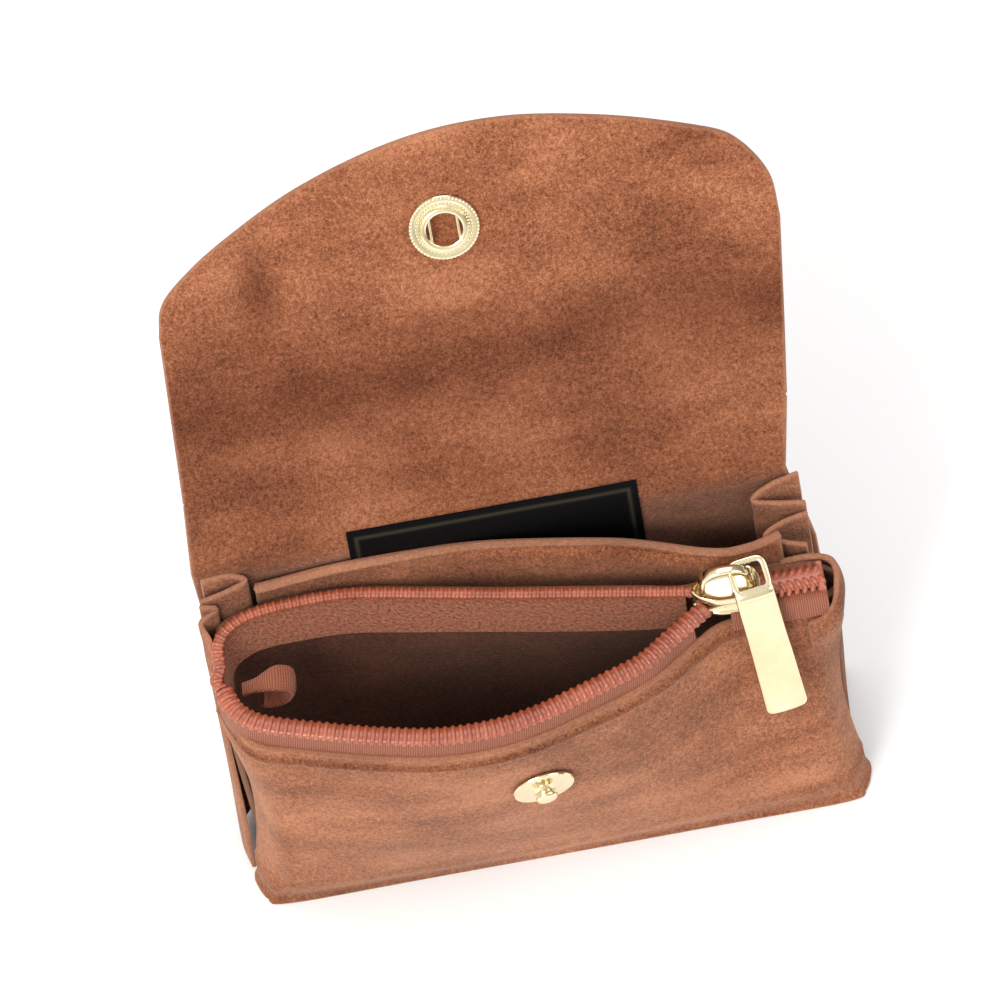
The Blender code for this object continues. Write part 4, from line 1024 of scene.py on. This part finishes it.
def metal(name, parts, body, replaced, material=None):
    """Join parts, turn their faces outwards, and let them ride on a body."""
    import bmesh
    obj = join(name, [part[:3] for part in parts], material or pale_gold)
    cleaned = bmesh.new()
    cleaned.from_mesh(obj.data)
    bmesh.ops.recalc_face_normals(cleaned, faces=cleaned.faces)
    cleaned.to_mesh(obj.data)
    cleaned.free()
    obj.data.shade_smooth()
    obj.data.set_sharp_from_angle(angle=math.radians(45))
    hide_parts(*replaced)
    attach(obj, body)
    return obj


# %% Slider and bail
def boat(levels, steps=64):
    """The slider's hull: its pointed outline at a list of (scale, height), from the keel to the deck's middle."""
    knots = np.array([(-6.25, 0), (-5.5, 1.25), (-4.0, 2.35), (-1.8, 3.1), (1.2, 3.3), (4.2, 3.2), (5.7, 2.7), (6.25, 1.5), (6.35, 0)]) * mm
    one_side = smooth_line(knots, steps // 2 + 1)
    outline = np.vstack([one_side, (one_side * [1, -1])[-2:0:-1]])
    levels = np.array(levels)
    ring = np.empty((len(levels), len(outline), 3))
    ring[..., :2] = outline[None] * levels[:, :1, None]
    ring[..., 2] = levels[:, 1:] * mm
    ring += [slider_x, 0, 0]
    low, high = np.array([[slider_x, 0, levels[0, 1] * mm]]), np.array([[slider_x, 0, levels[-1, 1] * mm]])
    total, count, k = ring.shape[0] * ring.shape[1], len(outline), np.arange(len(outline))
    ends = np.vstack([np.column_stack([np.full(count, total), k, (k + 1) % count]),
                      np.column_stack([np.full(count, total + 1), total - count + (k + 1) % count, total - count + k])])
    return np.vstack([ring.reshape(-1, 3), low, high]), quads(len(levels), count, True), ends


hull = [(0.5, 65.9), (0.85, 65.95), (0.97, 66.15), (1.0, 66.5), (0.99, 66.95), (0.93, 67.1), (0.90, 67.3), (0.90, 69.6),
        (0.93, 69.8), (0.99, 69.9), (1.0, 70.3), (1.0, 70.8), (0.975, 71.15), (0.93, 71.3), (0.885, 71.15), (0.86, 70.7), (0.83, 70.1), (0.77, 69.95),
        (0.45, 69.9), (0.2, 69.9)]
metal("slider_boat", [boat(hull)], "slider", ["slider_body"])
bail_knots = np.array([(31.5, 70.5), (31.4, 72.6), (31.9, 74.6), (33.4, 75.9), (35.6, 76.3), (37.8, 75.9), (39.3, 74.6), (39.85, 72.6), (39.8, 70.5)])
bail_path = smooth_line(np.column_stack([bail_knots[:, 0], 0 * bail_knots[:, 0], bail_knots[:, 1]]) * mm, 60)
bail_wide = 1.7 * mm + 0.9 * mm * hump(np.linspace(0, 1, 60), 0.12, 0.12) + 0.5 * mm * hump(np.linspace(0, 1, 60), 0.9, 0.1)
metal("slider_strap", [strap(bail_path, (0, 1, 0), bail_wide, 1.1 * mm)], "slider", ["slider_bail"])

# %% Pull
pull_pivot = Vector(joints["pull_swing"]["pos_m"])
ring_slope, bar_slope, pull_yaw = math.radians(24), math.radians(73), math.radians(7)
ring_way = np.array([0, -math.cos(ring_slope), -math.sin(ring_slope)])
bar_way = np.array([0, -math.cos(bar_slope), -math.sin(bar_slope)])
ring_up = np.array([0, -math.sin(ring_slope), math.cos(ring_slope)])
turn_ = np.linspace(0, 2 * np.pi, 72, endpoint=False)
c_, s_ = np.cos(turn_), np.sin(turn_)
loop_x = 3.05 * mm * np.sign(c_) * np.abs(c_) ** 0.42
loop_r = 0.77 * mm + 2.9 * mm * np.sign(s_) * np.abs(s_) ** 0.42
loop = loop_x[:, None] * np.array([1.0, 0, 0]) + loop_r[:, None] * ring_way
bend = ring_way * 4.27 * mm
reach = np.array([-1.3, -0.6, 0, 0.5, 1.2, 3, 8, 14, 20, 25, 27.2, 28.0, 28.4, 28.5]) * mm
bar_path = bend + np.where(reach[:, None] < 0, ring_way * reach[:, None], bar_way * reach[:, None])
bar_path[2:4] += (ring_way * -0.15 * mm - bar_way * -0.1 * mm)
bar_path = smooth_line(bar_path, 120)
bar_share = lengths(bar_path) / lengths(bar_path)[-1]
bar_wide = 7.1 * mm + 0.5 * mm * bar_share
end_round = np.sqrt(np.clip(1 - np.clip((bar_share - 0.955) / 0.045, 0, 1) ** 2, 0.02, 1))
bar_wide = bar_wide * (0.72 + 0.28 * end_round)
bar_thick = (1.4 * mm + 1.1 * mm * step(bar_share, 0.1, 0.4)) * (0.25 + 0.75 * end_round)
turn_matrix = np.array(Matrix.Rotation(pull_yaw, 3, Vector(ring_up)))


def hung(part):
    """Turn a part of the pull by its yaw and move it to the pivot."""
    return part[0] @ turn_matrix.T + np.array(pull_pivot), *part[1:]


metal("pull_plate", [hung(strap(loop, ring_up, 1.3 * mm, 1.1 * mm, True)), hung(strap(bar_path, (1, 0, 0), bar_wide, bar_thick, sides=28, power=0.72))],
      "pull", ["pull_tab"])

# %% [markdown]
# The press snap has two halves: a stud on the front wall, and on the flap a ring with two spring wires
# that click over the stud's head. A cap on the flap's outer face is riveted through to the ring.

# %% Press snap
stud_box, stud_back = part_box("snap_stud"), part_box("snap_stud_back")
stud_out = Vector((0.11988, -0.98229, -0.14398)).normalized()
stud_seat = Vector((-2.328, -17.703, 44.414)) * mm
stud_profile = [(0, 0.2), (5.0, 0.2), (5.5, 0.5), (5.62, 0.85), (5.5, 1.12), (5.1, 1.25), (3.4, 1.15), (2.4, 1.25), (1.85, 1.5), (1.6, 1.85),
                (1.65, 2.1), (1.85, 2.4), (1.97, 2.8), (1.9, 3.15), (1.6, 3.42), (1.0, 3.57), (0, 3.6)]
turned("snap_knob", stud_profile, 48, facing(stud_seat, stud_out), pale_gold, ["snap_stud"], "front_wall")
snap_s = hide_bend + 30.926 * mm
socket_x = (corner("snap_spring", 0, 0) + corner("snap_spring", 1, 0)) / 2
socket_out = np.array([0, -math.cos(face_lean), math.sin(face_lean)])
socket_seat = hide(socket_x, snap_s, suede_thick / 2 - 0.1 * mm)
ring_profile = [(3.5, 0.02), (5.9, 0.02), (6.3, 0.3), (6.35, 0.6), (6.2, 0.85), (5.75, 0.98), (5.3, 0.88), (4.95, 0.8), (4.6, 0.9), (4.4, 1.2),
                (4.25, 1.55), (3.95, 1.7), (3.55, 1.68), (3.3, 1.5), (3.22, 1.1), (3.22, 0.3)]
socket_place = facing(Vector(socket_seat), Vector(socket_out))
turned("snap_ring", ring_profile, 72, socket_place, pale_gold, ["snap_socket"], "flap_face")


def beads(name, count, radius, height, size, place, body, replaced):
    """A ring of small beads, each an octahedron split once and rounded."""
    corners_ = np.array([(1, 0, 0), (0, 1, 0), (-1, 0, 0), (0, -1, 0), (0, 0, 1), (0, 0, -0.3)], float)
    mids = unit(np.array([(1, 1, 0), (-1, 1, 0), (-1, -1, 0), (1, -1, 0), (1, 0, 1), (0, 1, 1), (-1, 0, 1), (0, -1, 1)], float))
    shape = np.vstack([corners_, mids]) * size
    top = [(4, 10, 11), (10, 0, 6), (10, 6, 11), (6, 1, 11), (4, 11, 12), (11, 1, 7), (11, 7, 12), (7, 2, 12),
           (4, 12, 13), (12, 2, 8), (12, 8, 13), (8, 3, 13), (4, 13, 10), (13, 3, 9), (13, 9, 10), (9, 0, 10)]
    under = [(5, 6, 0), (5, 1, 6), (5, 7, 1), (5, 2, 7), (5, 8, 2), (5, 3, 8), (5, 9, 3), (5, 0, 9)]
    angle = np.linspace(0, 2 * np.pi, count, endpoint=False)
    spots = np.column_stack([radius * np.cos(angle), radius * np.sin(angle), np.full(count, height)])
    points = (spots[:, None] + shape[None]).reshape(-1, 3)
    faces = (np.array(top + under)[None] + 14 * np.arange(count)[:, None, None]).reshape(-1, 3)
    matrix = np.array(place)
    points = points @ matrix[:3, :3].T + matrix[:3, 3]
    return metal(name, [(points, faces, np.zeros((0, 3), int))], body, replaced)


beads("snap_rim_beads", 54, 6.02 * mm, 0.88 * mm, 0.30 * mm, socket_place, "flap_face", ["snap_socket"])
beads("snap_inner_beads", 46, 4.98 * mm, 0.84 * mm, 0.22 * mm, socket_place, "flap_face", ["snap_socket"])
wires = []
for side_ in (-1, 1):
    wire = np.column_stack([np.full(20, side_ * 2.5), np.linspace(-2.3, 2.3, 20), np.full(20, 1.15)]) * mm
    wire = wire @ np.array(socket_place)[:3, :3].T + np.array(socket_place)[:3, 3]
    wires.append(tube(wire, 0.3 * mm, 8))
metal("snap_wires", wires, "flap_face", ["snap_spring"])
cap_profile = [(0, 1.0), (2.9, 0.93), (3.3, 0.02), (5.7, 0.02), (6.0, 0.25), (5.8, 0.6), (5.0, 0.9), (3.0, 1.2), (1.2, 1.3), (0, 1.32)]
turned("snap_dome", cap_profile, 48, facing(Vector(hide(socket_x, snap_s, -suede_thick / 2)), -Vector(socket_out)), pale_gold, ["snap_cap"], "flap_face")
back_profile = [(0, 0.02), (4.3, 0.02), (4.5, 0.2), (4.2, 0.5), (2.0, 0.7), (0, 0.75)]
back_seat = stud_seat - stud_out * 1.95 * mm
turned("snap_washer", back_profile, 32, facing(back_seat, -stud_out), pale_gold, ["snap_stud_back"], "front_wall")

# %% [markdown]
# The label is a black satin ribbon glued inside the back near the fold, and follows the curve of the hide. It
# has a thin border and carries no words.

# %% Label
label_s = np.linspace(60 * mm, 83.4 * mm, 90)[:, None] + np.zeros((1, 180))
label_x = np.linspace(-28.5 * mm, 23.3 * mm, 180)[None] + np.zeros((90, 1))
label_grid = hide(label_x, label_s, waves(label_x, label_s) + suede_thick / 2 + 0.3 * mm)
from_edge = np.minimum(np.minimum(label_x - label_x.min(), label_x.max() - label_x), np.minimum(label_s - label_s.min(), label_s.max() - label_s))
border = hump(from_edge, 1.5 * mm, 0.22 * mm)
label = skin("label", label_grid, 0.35 * mm, black_satin, 0, border)
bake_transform(label)
cloth(label, ["inner_label"])

# %% [markdown]
# At the left end of the mouth the spare tape is folded back on itself and tucked in. At the right end a
# stop holds the two rows together, under a strip of hide that wraps the end of the zip.

# %% Ends of the zip
tail_knots = np.array([(-51.5, 64.0), (-48.6, 64.3), (-45.2, 65.0), (-42.8, 63.2), (-44.0, 60.6), (-46.8, 60.2), (-48.4, 61.4)])
tail_path = smooth_line(np.column_stack([tail_knots[:, 0], np.array([0.6, 1.0, 1.2, 1.2, 1.0, 0.8, 0.6]), tail_knots[:, 1]]) * mm, 80)
tail_points, tail_quads, tail_ends, tail_uv = strap(tail_path, (0.1, 1, 0.1), (2.6 * mm + 2.4 * mm * step(np.linspace(0, 1, 80), 0.1, 0.4)), 1.7 * mm, sides=24, power=0.75)
tail = put("tape_tail", tail_points, tail_quads, rib_weave, tail_uv)
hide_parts("zip_tape_tail")
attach(tail, "root")
stop_path = np.column_stack([np.full(12, half - 3.6 * mm), np.linspace(-2.6, 2.6, 12) * mm, np.full(12, lip - 0.3 * mm)])
metal("end_stop", [strap(stop_path, (1, 0, 0), 1.3 * mm, 1.9 * mm, sides=20)], "root", ["zip_end_stop"], terracotta_nylon)
wrap_knots = np.array([(49, -4.6, 60.6), (51.6, -4.5, 61.6), (53.9, -3.7, 64.6), (55.0, -1.6, 67.8), (55.3, 0.8, 68.4), (54.4, 3.2, 68.3), (51, 4.6, 67.8), (46, 4.9, 67.2)]) * mm
wrap_line = smooth_line(wrap_knots, 120)
wrap_up = np.linspace(0, 1, 24)[:, None, None]
wrap_grid = wrap_line[None] - np.array([0, 0, 1.0]) * 8 * mm * (1 - wrap_up) + 0.6 * mm * sideways(wrap_line)[None] * np.sin(np.pi * wrap_up)
# The 0.1 darkens the whole strip a little.
end_wrap = skin("end_wrap", wrap_grid, 1.1 * mm, tan_suede, 0.1)
cloth(end_wrap, [], "root")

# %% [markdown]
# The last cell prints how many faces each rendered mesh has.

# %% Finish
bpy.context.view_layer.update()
for obj in sorted(bpy.context.scene.objects, key=lambda o: o.name):
    if obj.type == "MESH" and not obj.hide_render:
        print(obj.name, len(obj.data.polygons), "faces")
